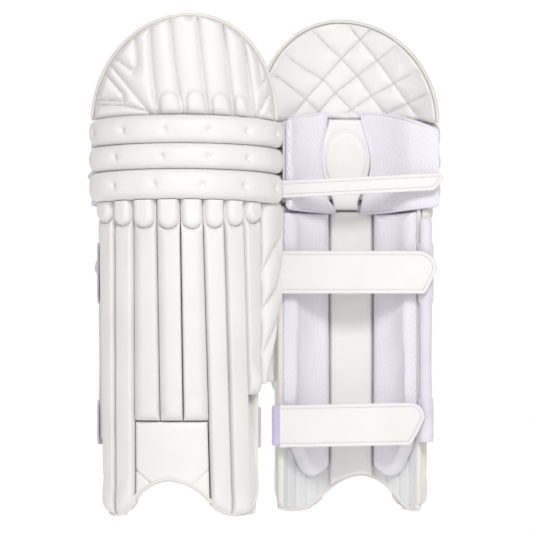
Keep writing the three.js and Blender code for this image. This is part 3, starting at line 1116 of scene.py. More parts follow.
@dataclass
class ShinLining:
    """The quilted shell behind the ribs, with the tape that binds its sides and its toes."""

    toe: ToeEdge = field(default_factory=ToeEdge)
    inner: float = 112.0
    outer: float = 118.2
    start: float = -62.0
    end: float = 68.0
    top: float = 462.0
    channel: float = 11.0
    seam_rise: float = 2.2
    lowest: float = 2.9
    face_tape: tuple[float, float, float] = (125.5, 2.5, 7.0)
    heel_tape: tuple[float, float, float] = (114.6, 2.7, 4.6)
    edge_tape: tuple[float, float, float] = (115.0, 2.2, 4.6)
    rows: int = 110
    columns: int = 100

    def heel(self, angle: Vec, z: Vec) -> Vec:
        """How far the lining swells beside the seventh rib, below the short eighth one."""
        beside = smoothed((angle - 49) / 4) * smoothed((66 - angle) / 5)
        return 13 * beside * smoothed((176 - z) / 14) * (0.62 + 0.38 * np.cos((z - 50) / 34))

    def build(self, bench: Bench) -> None:
        """Two bent grids with sewn channels inside, and a bead of tape round the open edges.

        Args:
            bench: The bench that makes the pad's pieces.
        """
        across = spaced(self.columns, 0.3)[None, :] + np.zeros((self.rows, 1))
        angle = self.start + (self.end - self.start) * across
        foot = self.toe.foot(self.outer, angle[:1], 20.0, drifts=False)
        z = foot + (self.top - foot) * spaced(self.rows, 0.35)[:, None]
        turns = np.abs(((angle - self.start) / self.channel + 0.5) % 1 - 0.5)
        channels = turns * self.channel * math.radians(self.inner)
        inside = self.inner + self.seam_rise * np.exp(-((channels / 2.0) ** 2)) - 0.8
        outside = self.outer + self.heel(angle, z)
        shell = slab(on_leg(outside, angle, z), on_leg(inside, angle, z))
        bench.piece("shin_lining", shell, Finish.LINING, "shin", ("shin_lining",), fill=0.4)
        bench.piece("edge_tape", self.tape(), Finish.BINDING, "shin")
        bench.piece("inner_edge_tape", self.side_tape(), Finish.BINDING, "shin")
        bench.piece("toe_tape", self.toe_tape(), Finish.BINDING, "shin")

    def tape(self) -> Shell:
        """The cream tape: down one edge of the face, round the toes and up the other edge.

        Returns:
            Its closed surface.
        """
        radius, width, height = self.face_tape
        left = [(drifted(RIB_SEAMS[0] - 0.6, z), z) for z in (461, 340, 220, 110, 40)]
        right = [(drifted(RIB_SEAMS[8] + 0.8, z), z) for z in (30, 80, 130, 220, 340, 461)]
        low = [
            (math.degrees(math.asin(x / radius)), max(self.lowest, float(self.toe.height(x)) + 1.6))
            for x in np.linspace(-98, 103, 60)[::4]
        ]
        path = even(np.maximum(curve([*left, *low, *right], 360), (-90.0, self.lowest)), 340)
        route = on_leg(radius, path[:, 0], path[:, 1])
        return piping(route, from_axis(route), width, height, 14)

    def toe_tape(self) -> Shell:
        """The cream tape that closes the lining's lower edge, seen from behind round the toes.

        Returns:
            Its closed surface.
        """
        radius, width, height = self.heel_tape
        x = np.linspace(-101, 105, 260)
        z = np.maximum(3.0, self.toe.height(x) + 1.8)
        route = on_leg(radius, np.degrees(np.arcsin(x / radius)), z)
        return piping(route, from_axis(route), width, height)

    def side_tape(self) -> Shell:
        """The cream tapes that close the lining's two upright edges.

        Returns:
            Both closed surfaces as one.
        """
        radius, width, height = self.edge_tape
        z = np.linspace(10, self.top, 90)
        runs = [on_leg(radius, edge, z) for edge in (self.start - 0.6, self.end + 0.6)]
        return joined([piping(run, from_axis(run), width, height) for run in runs])


@dataclass
class Back:
    """What the leg rests on: the smooth spine, two mesh bolsters and the padded tube down the inner edge."""

    toe: ToeEdge = field(default_factory=ToeEdge)
    deep: float = 111.4
    top: float = 453.0
    spine_edge: float = 17.4
    spine_reach: float = 105.0
    spine_face: float = 100.6
    bolster_reach: float = 104.0
    bolster_face: float = 90.5
    bolster_start: float = 19.4
    bolster_ends: tuple[float, float] = (64.5, 70.0)
    calf_band: tuple[float, float] = (316, 406)
    ankle_band: tuple[float, float] = (106, 172)
    bolster_foot: tuple = ((27, 104), (31, 78), (43, 60), (58, 53), (72, 60), (83, 83), (91, 112), (106, 240))
    rows: int = 110
    columns: int = 60

    def spine(self) -> Shell:
        """A shallow crowned strip with faint cross wrinkles.

        Returns:
            Its closed surface.
        """
        angle = self.spine_edge * (2 * spaced(46)[None, :] - 1) + np.zeros((self.rows, 1))
        foot = self.toe.foot(self.spine_reach, angle[:1], 50.0, drifts=False) + 1.5
        z = foot + (self.top + 2 - foot) * spaced(self.rows, 0.4)[:, None]
        worn = smoothed((360 - z) / 30) * smoothed((z - 180) / 60)
        wrinkles = 0.35 * np.sin(z / 3.1 + np.sin(angle / 5)) * worn
        welt = from_lines(angle * 1.8, z, [[(-27, 60), (-27, 460)], [(27, 60), (27, 460)]])
        relief = wrinkles - 1.3 * np.exp(-((welt / 1.1) ** 2))
        fill = Stuffing(0.0, self.deep - self.spine_face, 3.0, soft=5, soft_back=3)
        return cushion(lambda level, a, h: on_leg(self.deep - level, a, h), angle, z, fill, relief)

    def bolster(self, side: int) -> Shell:
        """A long cushion beside the spine with a round lower lobe.

        Args:
            side: 1 beside the wing and -1 on the other side.

        Returns:
            Its closed surface.
        """
        near, far = self.bolster_start, self.bolster_ends[side > 0]
        angle = (near + (far - near) * spaced(self.columns)[None, :]) + np.zeros((self.rows, 1))
        x = self.bolster_reach * np.sin(np.radians(angle[:1]))
        line = curve(list(self.bolster_foot), 120)
        foot = np.interp(x, line[:, 0], line[:, 1])
        z = foot + (self.top - foot) * spaced(self.rows)[:, None]
        slack = 1.1 * np.sin(z / 37 + angle / 9) + 0.7 * np.sin(z / 16 - angle / 6)
        fill = Stuffing(0.0, self.deep - self.bolster_face, 4.0, soft=20, soft_back=4)
        return cushion(lambda level, a, h: on_leg(self.deep - level, side * a, h), angle, z, fill, slack)

    def side_roll(self, bench: Bench) -> Shell:
        """The padded tube: rings that breathe a little, drawn in under the two elastic bands.

        Args:
            bench: The bench, which knows where the roll stands.

        Returns:
            Its closed surface.
        """
        low, high = bench.place.box("side_roll")
        centre = (low + high) / 2
        radius = (high[0] - low[0]) / 2
        z = low[2] + (high[2] - low[2]) * spaced(130, 0.25)
        turn = np.linspace(0, 2 * math.pi, 40, endpoint=False)
        end = rounded(np.minimum(z - low[2], high[2] - z) / 10)
        size = radius * (0.25 + 0.75 * end) * (1 + 0.04 * np.sin(z / 21))
        size = size * (1 - 0.12 * np.exp(-(((z - 362) / 34) ** 4)) - 0.10 * np.exp(-(((z - 135) / 26) ** 4)))
        rings = np.stack(
            [
                centre[0] + size[:, None] * np.cos(turn),
                centre[1] + size[:, None] * np.sin(turn),
                z[:, None] + 0 * turn,
            ],
            axis=-1,
        )
        return tube(rings)

    def band(self, bench: Bench, foot: float, top: float) -> Shell:
        """A wide loop-faced band round the side roll, gathered a little at both edges.

        Args:
            bench: The bench, which knows where the roll stands.
            foot: The band's lower edge.
            top: Its upper edge.

        Returns:
            Its closed surface.
        """
        low, high = bench.place.box("side_roll")
        centre = (low + high) / 2
        turn = np.radians(np.linspace(-118, 128, 46))[None, :]
        z = foot + (top - foot) * spaced(44)[:, None]
        edge = np.minimum(z - foot, top - z)
        pucker = 0.8 * np.sin(7 * turn + z / 9) * np.exp(-edge / 7)
        radius = 10.6 - 1.6 * np.exp(-edge / 4) + pucker + 2.0 * smoothed((np.abs(turn) - 1.1) / 0.9)

        def ring(size: Vec) -> Vec:
            """Points round the roll, measured from its rear towards its outer side."""
            points = [centre[0] - size * np.sin(turn), centre[1] + 0.8 * size * np.cos(turn), z + 0 * size]
            return np.stack(np.broadcast_arrays(*points), axis=-1)

        return slab(ring(radius + 0 * z), ring(radius - 1.6 + 0 * z))

    def build(self, bench: Bench) -> None:
        """Makes the pieces of the back.

        Args:
            bench: The bench that makes the pad's pieces.
        """
        bench.piece("spine", self.spine(), Finish.SMOOTH, "shin", ("spine",), fill=0.5)
        bench.piece("inner_bolster", self.bolster(-1), Finish.MESH, "shin", ("inner_bolster",), fill=0.7)
        bench.piece("outer_bolster", self.bolster(1), Finish.MESH, "shin", ("outer_bolster",), fill=0.7)
        bench.piece("side_roll", self.side_roll(bench), Finish.TUBE_CLOTH, "shin", ("side_roll",), fill=0.9)
        bench.piece("calf_loop_band", self.band(bench, *self.calf_band), Finish.LOOP, "shin")
        bench.piece("ankle_loop_band", self.band(bench, *self.ankle_band), Finish.LOOP, "shin")


@dataclass
class Wing:
    """The flap that wraps back round the calf: a flat panel above, soft pleats below, ending in a point."""

    outside: tuple = ((122, -51), (133, -44), (142, -30), (148, -14), (150.5, -5), (147, -1.5))
    inside: tuple = ((114, -42), (123, -34), (130.5, -22), (136.5, -9), (141, -3), (146, -1.8))
    foot: float = 196.0
    top: float = 465.0
    fold: float = 4.6
    rows: int = 150
    columns: int = 50

    def build(self, bench: Bench) -> None:
        """Two bent grids that narrow below the calf strap, with slanting pleats in the lower half.

        Args:
            bench: The bench that makes the pad's pieces.
        """
        z = self.foot + (self.top - self.foot) * spaced(self.rows, 0.3)[:, None]
        reach = 0.16 + 0.84 * smoothed((z - self.foot) / (372 - self.foot)) ** 0.9
        share = spaced(self.columns, 0.5)[None, :] * reach
        outer, inner = (curve(list(line), 200) for line in (self.outside, self.inside))
        steps = np.linspace(0, 1, 200)

        def bent(line: Vec) -> Vec:
            """Points of the grid on one of the two lines."""
            x, y = (np.interp(share, steps, line[:, i]) for i in (0, 1))
            return np.stack([x, y, z + 0 * x], axis=-1)

        front, back = bent(outer), bent(inner)
        edge = np.minimum.reduce(border_distances(front))
        swell = rounded(edge / 7)
        pleat = smoothed((418 - z) / 16) * smoothed((z - 222) / 40)
        turns = z / 60.0 - 1.35 * share + 0.06 * np.sin(z / 17)
        ridge = 1 - np.abs(2 * (turns % 1) - 1) ** 2.4
        relief = (2 * self.fold * pleat * (ridge - 0.72) + 1.0 * (1 - pleat)) * swell
        normal = (front - back) / np.maximum(np.linalg.norm(front - back, axis=-1, keepdims=True), 1e-6)
        middle = (front + back) / 2
        front = middle + (front - middle) * (0.25 + 0.75 * swell[..., None]) + normal * relief[..., None]
        back = middle + (back - middle) * (0.25 + 0.75 * swell[..., None])
        bend = Bend("shin", "wing", (120.0, -48.0, 330.0), (131.0, -40.0, 330.0))
        bench.piece("wing", slab(front, back), Finish.FACE, bend, ("wing",), fill=0.4)


# ------------------------------------------------------------------------------------ knee


@dataclass
class KneeRolls:
    """Three stuffed rolls across the knee, drawn in by small tufts."""

    depth: float = 40.0
    squareness: float = 2.5
    middles: tuple[float, ...] = (574.6, 534.8, 493.4)
    heights: tuple[float, ...] = (42.2, 38.6, 45.0)
    tufts: tuple[tuple[float, ...], ...] = (
        (-128.0, -85.5, -22.5, 44.3, 99.0, 138.0),
        (-96.0, -26.4, 44.3, 100.0),
        (-98.0, -38.0, 35.4, 95.3, 137.0),
    )
    bulges: tuple[float, float] = (3.0, 8.5)
    tuft: tuple[float, float] = (5.2, 3.4)
    pucker: tuple[float, float] = (2.0, 10.0)
    knot_depth: float = 6.6
    rings: int = 230
    around: int = 76

    def tuft_places(self, index: int) -> Vec:
        """Where a roll's tufts sit, as angles round the leg."""
        crest = ROLL_RADIUS + self.depth / 2
        return np.degrees(np.arcsin(np.array(self.tufts[index]) / crest))

    def roll(self, index: int) -> Shell:
        """A rounded box section carried round the leg, rounding off at its ends and dented at its tufts.

        Args:
            index: 0 for the highest roll, to 2 for the lowest.

        Returns:
            Its closed surface.
        """
        share = spaced(self.rings, 0.3)[:, None]
        angle = ROLL_FROM + (ROLL_TO - ROLL_FROM) * share
        turn = np.linspace(0, 2 * math.pi, self.around, endpoint=False)[None, :]
        power = 2 / self.squareness
        out = np.sign(np.cos(turn)) * np.abs(np.cos(turn)) ** power * self.depth / 2
        up = np.sign(np.sin(turn)) * np.abs(np.sin(turn)) ** power * self.heights[index] / 2
        inwards = np.minimum(angle - ROLL_FROM, ROLL_TO - angle) / 10
        size = 0.1 + 0.9 * rounded(inwards)
        breathe = 1 + 0.012 * np.sin(angle / 4.7 + 2 * index) + 0.008 * np.sin(angle / 2.1)
        radius = ROLL_RADIUS + out * size * breathe
        z = self.middles[index] + up * (0.6 + 0.4 * size) - droop(angle)
        front = smoothed(out / 9)
        (tuft, narrow), (pucker, wide) = self.tuft, self.pucker
        for place in self.tuft_places(index):
            beside = np.radians(angle - place) * 150
            away = np.hypot(beside, z - self.middles[index] + droop(angle))
            folds = 1 + 0.25 * np.cos(5 * np.arctan2(z - self.middles[index], beside + 0.01))
            dent = tuft * np.exp(-((away / narrow) ** 2)) + pucker * folds * np.exp(-((away / wide) ** 2))
            radius = radius - front * dent
        return tube(self.spread(on_leg(radius, angle, z)))

    def spread(self, points: Vec) -> Vec:
        """Points pushed outwards at both sides, where the rolls bulge past the shin.

        Args:
            points: Points of a roll, or on it.

        Returns:
            The moved points.
        """
        inner, outer = self.bulges
        points = np.array(points)
        x = points[..., 0]
        points[..., 0] = x + outer * smoothed((x - 60) / 80) - inner * smoothed((-60 - x) / 70)
        return points

    def knots(self) -> Shell:
        """One thread knot in each tuft.

        Returns:
            One Shell that holds every knot.
        """
        shells = []
        for index, middle in enumerate(self.middles):
            for place in self.tuft_places(index):
                centre = middle - float(droop(place))
                reach = ROLL_RADIUS + self.depth / 2 - self.knot_depth
                spot = self.spread(on_leg(reach, np.array([place - 0.6, place + 0.6]), centre))
                shells.append(stitching(spot, spot[0] - (0, LEG_AXIS_Y, centre), 3.0, 2.4, 0.7))
        return joined(shells)

    def build(self, bench: Bench) -> None:
        """Makes the three rolls and their knots.

        Args:
            bench: The bench that makes the pad's pieces.
        """
        for index in range(len(self.middles)):
            name = f"knee_roll_{index + 1}"
            bench.piece(name, self.roll(index), Finish.FACE, "knee", (name,), fill=0.9)
        bench.piece("tuft_knots", self.knots(), Finish.THREAD, "knee")


@dataclass
class KneeBack:
    """Behind the rolls: a foam shell, two mesh flaps and the padded cup over the kneecap."""

    foam: Stuffing = Stuffing(105.8, 111.6, 108.5, 5, 5)
    foam_start: float = -63.0
    foam_turn: float = 134.0
    foam_foot: float = 472.0
    foam_tall: float = 123.0
    flap_back: float = 104.8
    cup_back: float = 104.6
    cup_middle: float = 531.0
    cup_turn: float = 5.5
    cup_reach: float = 97.0
    rows: int = 90
    columns: int = 90

    def backing(self) -> Shell:
        """The hidden foam shell.

        Returns:
            Its closed surface.
        """
        angle = self.foam_start + self.foam_turn * spaced(60)[None, :] + np.zeros((30, 1))
        z = self.foam_foot + self.foam_tall * spaced(30)[:, None] - droop(angle) * 0.6
        return cushion(on_leg, angle, z, self.foam)

    def inner_flap(self) -> tuple[Shell, Vec]:
        """The flap opposite the wing: it follows the leg, then turns out over the rolls' ends.

        Returns:
            Its surface and the route of its free edge.
        """
        corners = [(-8.5, 96), (-30, 94), (-48, 94.5), (-60, 100), (-66, 112), (-70, 126), (-71.5, 139.5)]
        plan = curve(corners, 200)
        run = even(np.stack([plan[:, 0] * 1.7, plan[:, 1], 0 * plan[:, 1]], axis=1), 200)
        share = spaced(self.columns, 0.4)[None, :] + np.zeros((self.rows, 1))
        steps = np.linspace(0, 1, 200)
        up = spaced(self.rows, 0.5)[:, None]
        low = 451.5 + 12 * share**1.5
        high = 603.5 - 7 * share - 22 * share**3
        z = low + (high - low) * up
        neck = 10.7 * np.exp(-(((z - 528) / 50) ** 2)) * (1 - share) ** 3
        angle = np.interp(share, steps, run[:, 0] / 1.7) - neck
        depth = np.interp(share, steps, run[:, 1])
        thick = 9.5 - 3.5 * smoothed((share - 0.55) / 0.3)

        def surface(level: Vec, a: Vec, h: Vec) -> Vec:
            """Level 0 is the flap's middle sheet, and the level grows towards the leg."""
            turned = smoothed((share - 0.6) / 0.3)
            behind = np.stack([0 * level, 0.9 * level * turned, 0 * level], axis=-1)
            return on_leg(depth - level * (1 - turned), a, h) + behind

        slack = 0.8 * np.sin(z / 19 + 3 * share) + 0.5 * np.sin(z / 9 - 8 * share)
        flat = surface(np.zeros(z.shape), angle, z)
        edge = np.minimum.reduce(border_distances(flat))
        front = surface(0.5 + (1.5 + slack) * rounded(edge / 9), angle, z)
        back = surface(-0.6 - (thick - 1.2) * rounded(edge / 6), angle, z)
        border = np.concatenate([flat[0, ::-1], flat[1:, 0], flat[-1, 1:]])
        return slab(front, back), border

    def outer_flap(self) -> tuple[Shell, Vec]:
        """The flap beside the wing.

        Returns:
            Its surface and the route of its free edge.
        """
        share = spaced(self.columns, 0.4)[None, :] + np.zeros((self.rows, 1))
        up = spaced(self.rows, 0.5)[:, None]
        low = 452.5 + 7 * share
        high = 604 - 12 * share
        z = low + (high - low) * up
        neck = 6 * np.exp(-(((z - 535) / 45) ** 2)) * (1 - share) ** 3
        angle = 22.5 + 52.5 * share + neck - 7.5 * smoothed((478 - z) / 25) * (1 - share) ** 2
        slack = 0.8 * np.sin(z / 17 + 4 * share) + 0.5 * np.sin(z / 8 - 6 * share)
        fill = Stuffing(0.2, 12.0, 7.0, soft=9)

        def surface(level: Vec, a: Vec, h: Vec) -> Vec:
            """Level 0 touches the foam shell."""
            return on_leg(self.flap_back - level, a, h)

        flat = surface(np.full(z.shape, 7.0), angle, z)
        border = np.concatenate([flat[0, ::-1], flat[1:, 0], flat[-1, 1:]])
        return cushion(surface, angle, z, fill, slack), border

    def cup(self) -> tuple[Shell, Vec]:
        """The padded tongue with a raised oval in its middle.

        Returns:
            Its surface and the route round the oval.
        """
        up = spaced(self.rows, 0.4)[:, None]
        z = 457 + 137 * up + np.zeros((1, 70))
        half = 15.5 + 7.3 * np.sin(math.pi * np.clip((z - 486) / 104, 0, 1)) - 4.5 * smoothed((490 - z) / 24)
        across = 2 * spaced(70, 0.4)[None, :] - 1
        angle = 5.0 + half * across
        x = np.radians(angle - self.cup_turn) * self.cup_reach
        oval = np.hypot(x / 32.0, (z - self.cup_middle) / 45)
        island = 4.2 * rounded((1 - oval) / 0.16) - 1.8 * np.exp(-(((oval - 1.02) / 0.05) ** 2))
        fill = Stuffing(0.2, 9.5, 4.0, soft=7)
        shell = cushion(lambda level, a, h: on_leg(self.cup_back - level, a, h), angle, z, fill, island)
        turn = np.linspace(0, 2 * math.pi, 90)
        around = self.cup_turn + np.degrees(28.6 * np.cos(turn) / self.cup_reach)
        ring = on_leg(96.4, around, self.cup_middle + 40.2 * np.sin(turn))
        return shell, ring

    def build(self, bench: Bench) -> None:
        """Makes the pieces and the tape round the flaps' free edges.

        Args:
            bench: The bench that makes the pad's pieces.
        """
        bench.piece("knee_backing", self.backing(), Finish.FOAM, "knee", ("knee_backing",), fill=0.6)
        for name, (shell, border) in {"inner": self.inner_flap(), "outer": self.outer_flap()}.items():
            node = f"{name}_knee_flap"
            bench.piece(node, shell, Finish.MESH, "knee", (node,), fill=0.5)
            tape = piping(even(border, 200), even(-from_axis(border), 200), 2.3, 3.4, 12)
            bench.piece(f"{name}_flap_tape", tape, Finish.MESH_EDGE, "knee")
        shell, ring = self.cup()
        bench.piece("knee_cup", shell, Finish.SMOOTH, "knee", ("knee_cup",), fill=0.7)
        stitches = stitching(ring, -from_axis(ring), 3.6, 2.4, 0.4)
        bench.piece("cup_stitching", stitches, Finish.THREAD, "knee")


# ------------------------------------------------------------------------------------ top section


@dataclass
class TopSection:
    """The domed top: a fluted face, a quilted lining and the tape that binds them together."""

    base: float = 594.5
    side_drop: float = 7.0
    crown: float = 744.6
    half_width: float = 137.5
    skew: float = 9.0
    last_turn: float = 87.5
    face_fill: Stuffing = Stuffing(160.5, 184.5, 164.0, soft=15, soft_back=3)
    lining_fill: Stuffing = Stuffing(-158.3, -147.5, -157.0, soft=9, soft_back=2)
    thread_radius: float = 151.4
    rim_radius: float = 163.5
    rim_tape: tuple[float, float] = (6.5, 3.3)
    rows: int = 100
    columns: int = 176
    flutes: tuple = (
        ((-51, 722), (-49, 680), (-45, 640), (-39, 597)),
        ((-21, 733), (-17, 690), (-12, 650), (-3, 595)),
        ((19.5, 738), (24, 690), (29, 645), (35.5, 595)),
        ((57.8, 733), (62, 690), (68, 640), (73.5, 597)),
        ((88.5, 720), (92, 680), (97, 640), (104, 592)),
    )
    darts: tuple = (
        ((-74, 714), (-71, 690), (-70, 668), (-76, 660), (-104, 681)),
        ((-112, 674), (-78, 632), (-50, 597)),
        ((-119, 660), (-91, 627), (-90, 616), (-134, 619)),
        ((-134, 611), (-92, 610), (-52, 600)),
        ((108, 700), (112, 665), (116, 643), (126, 658)),
        ((136, 644), (120, 618), (106, 590)),
        ((140, 620), (129, 602)),
    )
    bulbs: tuple = ((-22.0, 16.5, 630.0), (16.5, 15.5, 631.0), (53.0, 14.0, 628.0), (83.0, 10.5, 624.0))
    quilting: tuple = (
        ((61, 731), (15, 687), (-10, 660), (-31, 630), (-54, 600)),
        ((6.8, 740), (-39.5, 684), (-64.7, 649), (-97, 602)),
        ((110, 700), (72, 672), (45, 657), (23.6, 634.5), (-8, 602)),
        ((134, 668), (108, 656), (72, 628), (46, 602)),
        ((-33, 735), (15, 687), (67.7, 626), (87, 602)),
        ((-73, 710), (-39.5, 684), (23.6, 634.5), (52, 602)),
        ((-98, 667), (-31, 630), (9, 602)),
        ((-119, 634), (-88, 620), (-54, 602)),
    )

    def outline(self, turn: Vec, across: Vec, inset: float = 0.0) -> tuple[Vec, Vec]:
        """Places across and up the dome: a half ellipse that leans to the wing as it rises.

        Args:
            turn: Degrees round the ellipse, 0 at its foot and 90 at its peak.
            across: From -1 at one side to 1 at the other.
            inset: How far inside the outline the places stay.

        Returns:
            x from the dome's own middle, and z.
        """
        rise = np.sin(np.radians(turn))
        x = self.skew * rise**2 + across * (self.half_width - inset) * np.cos(np.radians(turn))
        foot = self.base - self.side_drop * (x / self.half_width) ** 2
        return x, foot + (self.crown - inset - foot) * rise

    def bent(self, radius: Vec, x: Vec, z: Vec) -> Vec:
        """Points at a radius about the dome's own upright axis."""
        return np.stack([TOP_AXIS[0] + x, TOP_AXIS[1] - np.sqrt(radius**2 - x**2), z + 0 * x], axis=-1)

    def grid(self, inset: float) -> tuple[Vec, Vec]:
        """The places of a grid over the dome.

        Args:
            inset: How far inside the outline the grid stays.

        Returns:
            x from the dome's own middle, and z.
        """
        turn = self.last_turn * spaced(self.rows, 0.25)[:, None]
        across = 2 * spaced(self.columns, 0.2)[None, :] - 1
        return self.outline(turn, across, inset)

    def face(self) -> Shell:
        """Puffed strips between the sewn flutes and darts, with a round bulb at the foot of each flute.

        Returns:
            Its closed surface.
        """
        x, z = self.grid(3.2)
        spot = x + TOP_AXIS[0] - 6.5
        seams = from_lines(spot, z, [list(line) for line in (*self.flutes, *self.darts)])
        flute = from_lines(spot, z, [list(line) for line in self.flutes])
        relief = 9.5 * (1 - np.exp(-seams / 6.0)) - 1.6 * np.exp(-((seams / 1.4) ** 2)) - 8.0
        relief -= 1.4 * np.exp(-((flute / 4.0) ** 2))
        for middle, half, top in self.bulbs:
            centre = top - half
            beside = spot - middle - 0.12 * (top - z)
            inside = half - np.where(z < centre, np.abs(beside), np.hypot(beside, z - centre))
            relief += 5.2 * rounded(inside / 7.5) - 2.0 * np.exp(-((inside / 1.8) ** 2))
        relief += 0.6 * np.sin(z / 13 + x / 21)
        return cushion(self.bent, x, z, self.face_fill, relief)

    def lining(self) -> Shell:
        """Quilted puffs between two families of slanting seams.

        Returns:
            Its closed surface.
        """
        x, z = self.grid(4.0)
        seams = from_lines(x + TOP_AXIS[0], z, [list(line) for line in self.quilting])
        relief = 7.0 * (1 - np.exp(-seams / 7.5)) - 5.6 - 1.0 * np.exp(-((seams / 1.0) ** 2))
        relief += 0.4 * np.sin(x / 11 + z / 17)
        return cushion(lambda level, a, h: self.bent(-level, a, h), x, z, self.lining_fill, relief)

    def quilt_threads(self) -> Shell:
        """Stitches along every seam of the quilting, where it lies inside the dome.

        Returns:
            One Shell that holds every stitch.
        """
        shells = []
        for line in self.quilting:
            route = even(curve(list(line), 80), 120)
            inside = self.crown - 14 - 0.0068 * (route[:, 0] - 12) ** 2 > route[:, 1]
            route = route[inside & (route[:, 1] > 606)]
            if len(route) < 8:
                continue
            radius = np.full(len(route), self.thread_radius)
            points = self.bent(radius, route[:, 0] - TOP_AXIS[0], route[:, 1])
            facing = np.stack([0.6 * -points[:, 0] / 150, np.ones(len(route)), 0 * route[:, 0]], axis=1)
            shells.append(stitching(points, facing, 4.4, 3.1, 0.45))
        return joined(shells)

    def rim(self) -> tuple[Vec, Vec]:
        """The route of the bound edge and the way that it faces.

        Returns:
            The route and the direction at each of its points.
        """
        left = np.linspace(0, 90, 110)
        x0, z0 = self.outline(left, np.full(110, -1.0), 1.2)
        x1, z1 = self.outline(left[::-1], np.full(110, 1.0), 1.2)
        x, z = np.concatenate([x0, x1[1:]]), np.concatenate([z0, z1[1:]])
        route = even(self.bent(np.full(len(x), self.rim_radius), x, z), 220)
        out = np.gradient(route, axis=0)
        return route, np.cross(out, (0, 1, 0))

    def build(self, bench: Bench) -> None:
        """Makes the dome's pieces.

        Args:
            bench: The bench that makes the pad's pieces.
        """
        bench.piece("top_hat", self.face(), Finish.FACE, "top", ("top_hat",), fill=0.7)
        bench.piece("top_lining", self.lining(), Finish.QUILT, "top", ("top_lining",), fill=0.5)
        bench.piece("quilting_stitches", self.quilt_threads(), Finish.GREY_THREAD, "top")
        route, facing = self.rim()
        bench.piece("rim_tape", piping(route, -facing, *self.rim_tape, 16), Finish.BINDING, "top")


@dataclass
class SeamCloths:
    """The cloth behind the two cross seams, which lets the knee and the top lean back."""

    start: float = -62.0
    turn: float = 132.0
    knee_radius: float = 119.0
    top_radius: float = 160.0
    half_width: float = 126.0
    tall: float = 34.0
    rows: int = 16
    columns: int = 90

    def build(self, bench: Bench) -> None:
        """Two thin bent strips, each lying across the seam between the sections on either side of it, tied to
        neither.

        Args:
            bench: The bench that makes the pad's pieces.
        """
        across = spaced(self.columns)[None, :] + np.zeros((self.rows, 1))
        up = self.tall * spaced(self.rows)[:, None] + 0 * across
        angle = self.start + self.turn * across
        radii = (self.knee_radius, self.knee_radius - 0.8)
        knee = slab(*(on_leg(radius, angle, 450 + up) for radius in radii))
        bend = Bend("shin", "knee", (0.0, -100.0, 460.0), (0.0, -100.0, 474.0))
        bench.piece("knee_seam_cloth", knee, Finish.LINING, bend)
        dome = TopSection()
        x = self.half_width * (2 * across - 1)
        radii = (self.top_radius, self.top_radius - 0.7)
        top = slab(*(dome.bent(np.full(x.shape, radius), x, 584 + up) for radius in radii))
        bend = Bend("knee", "top", (0.0, -100.0, 592.0), (0.0, -100.0, 606.0))
        bench.piece("top_seam_cloth", top, Finish.LINING, bend)


# ------------------------------------------------------------------------------------ straps


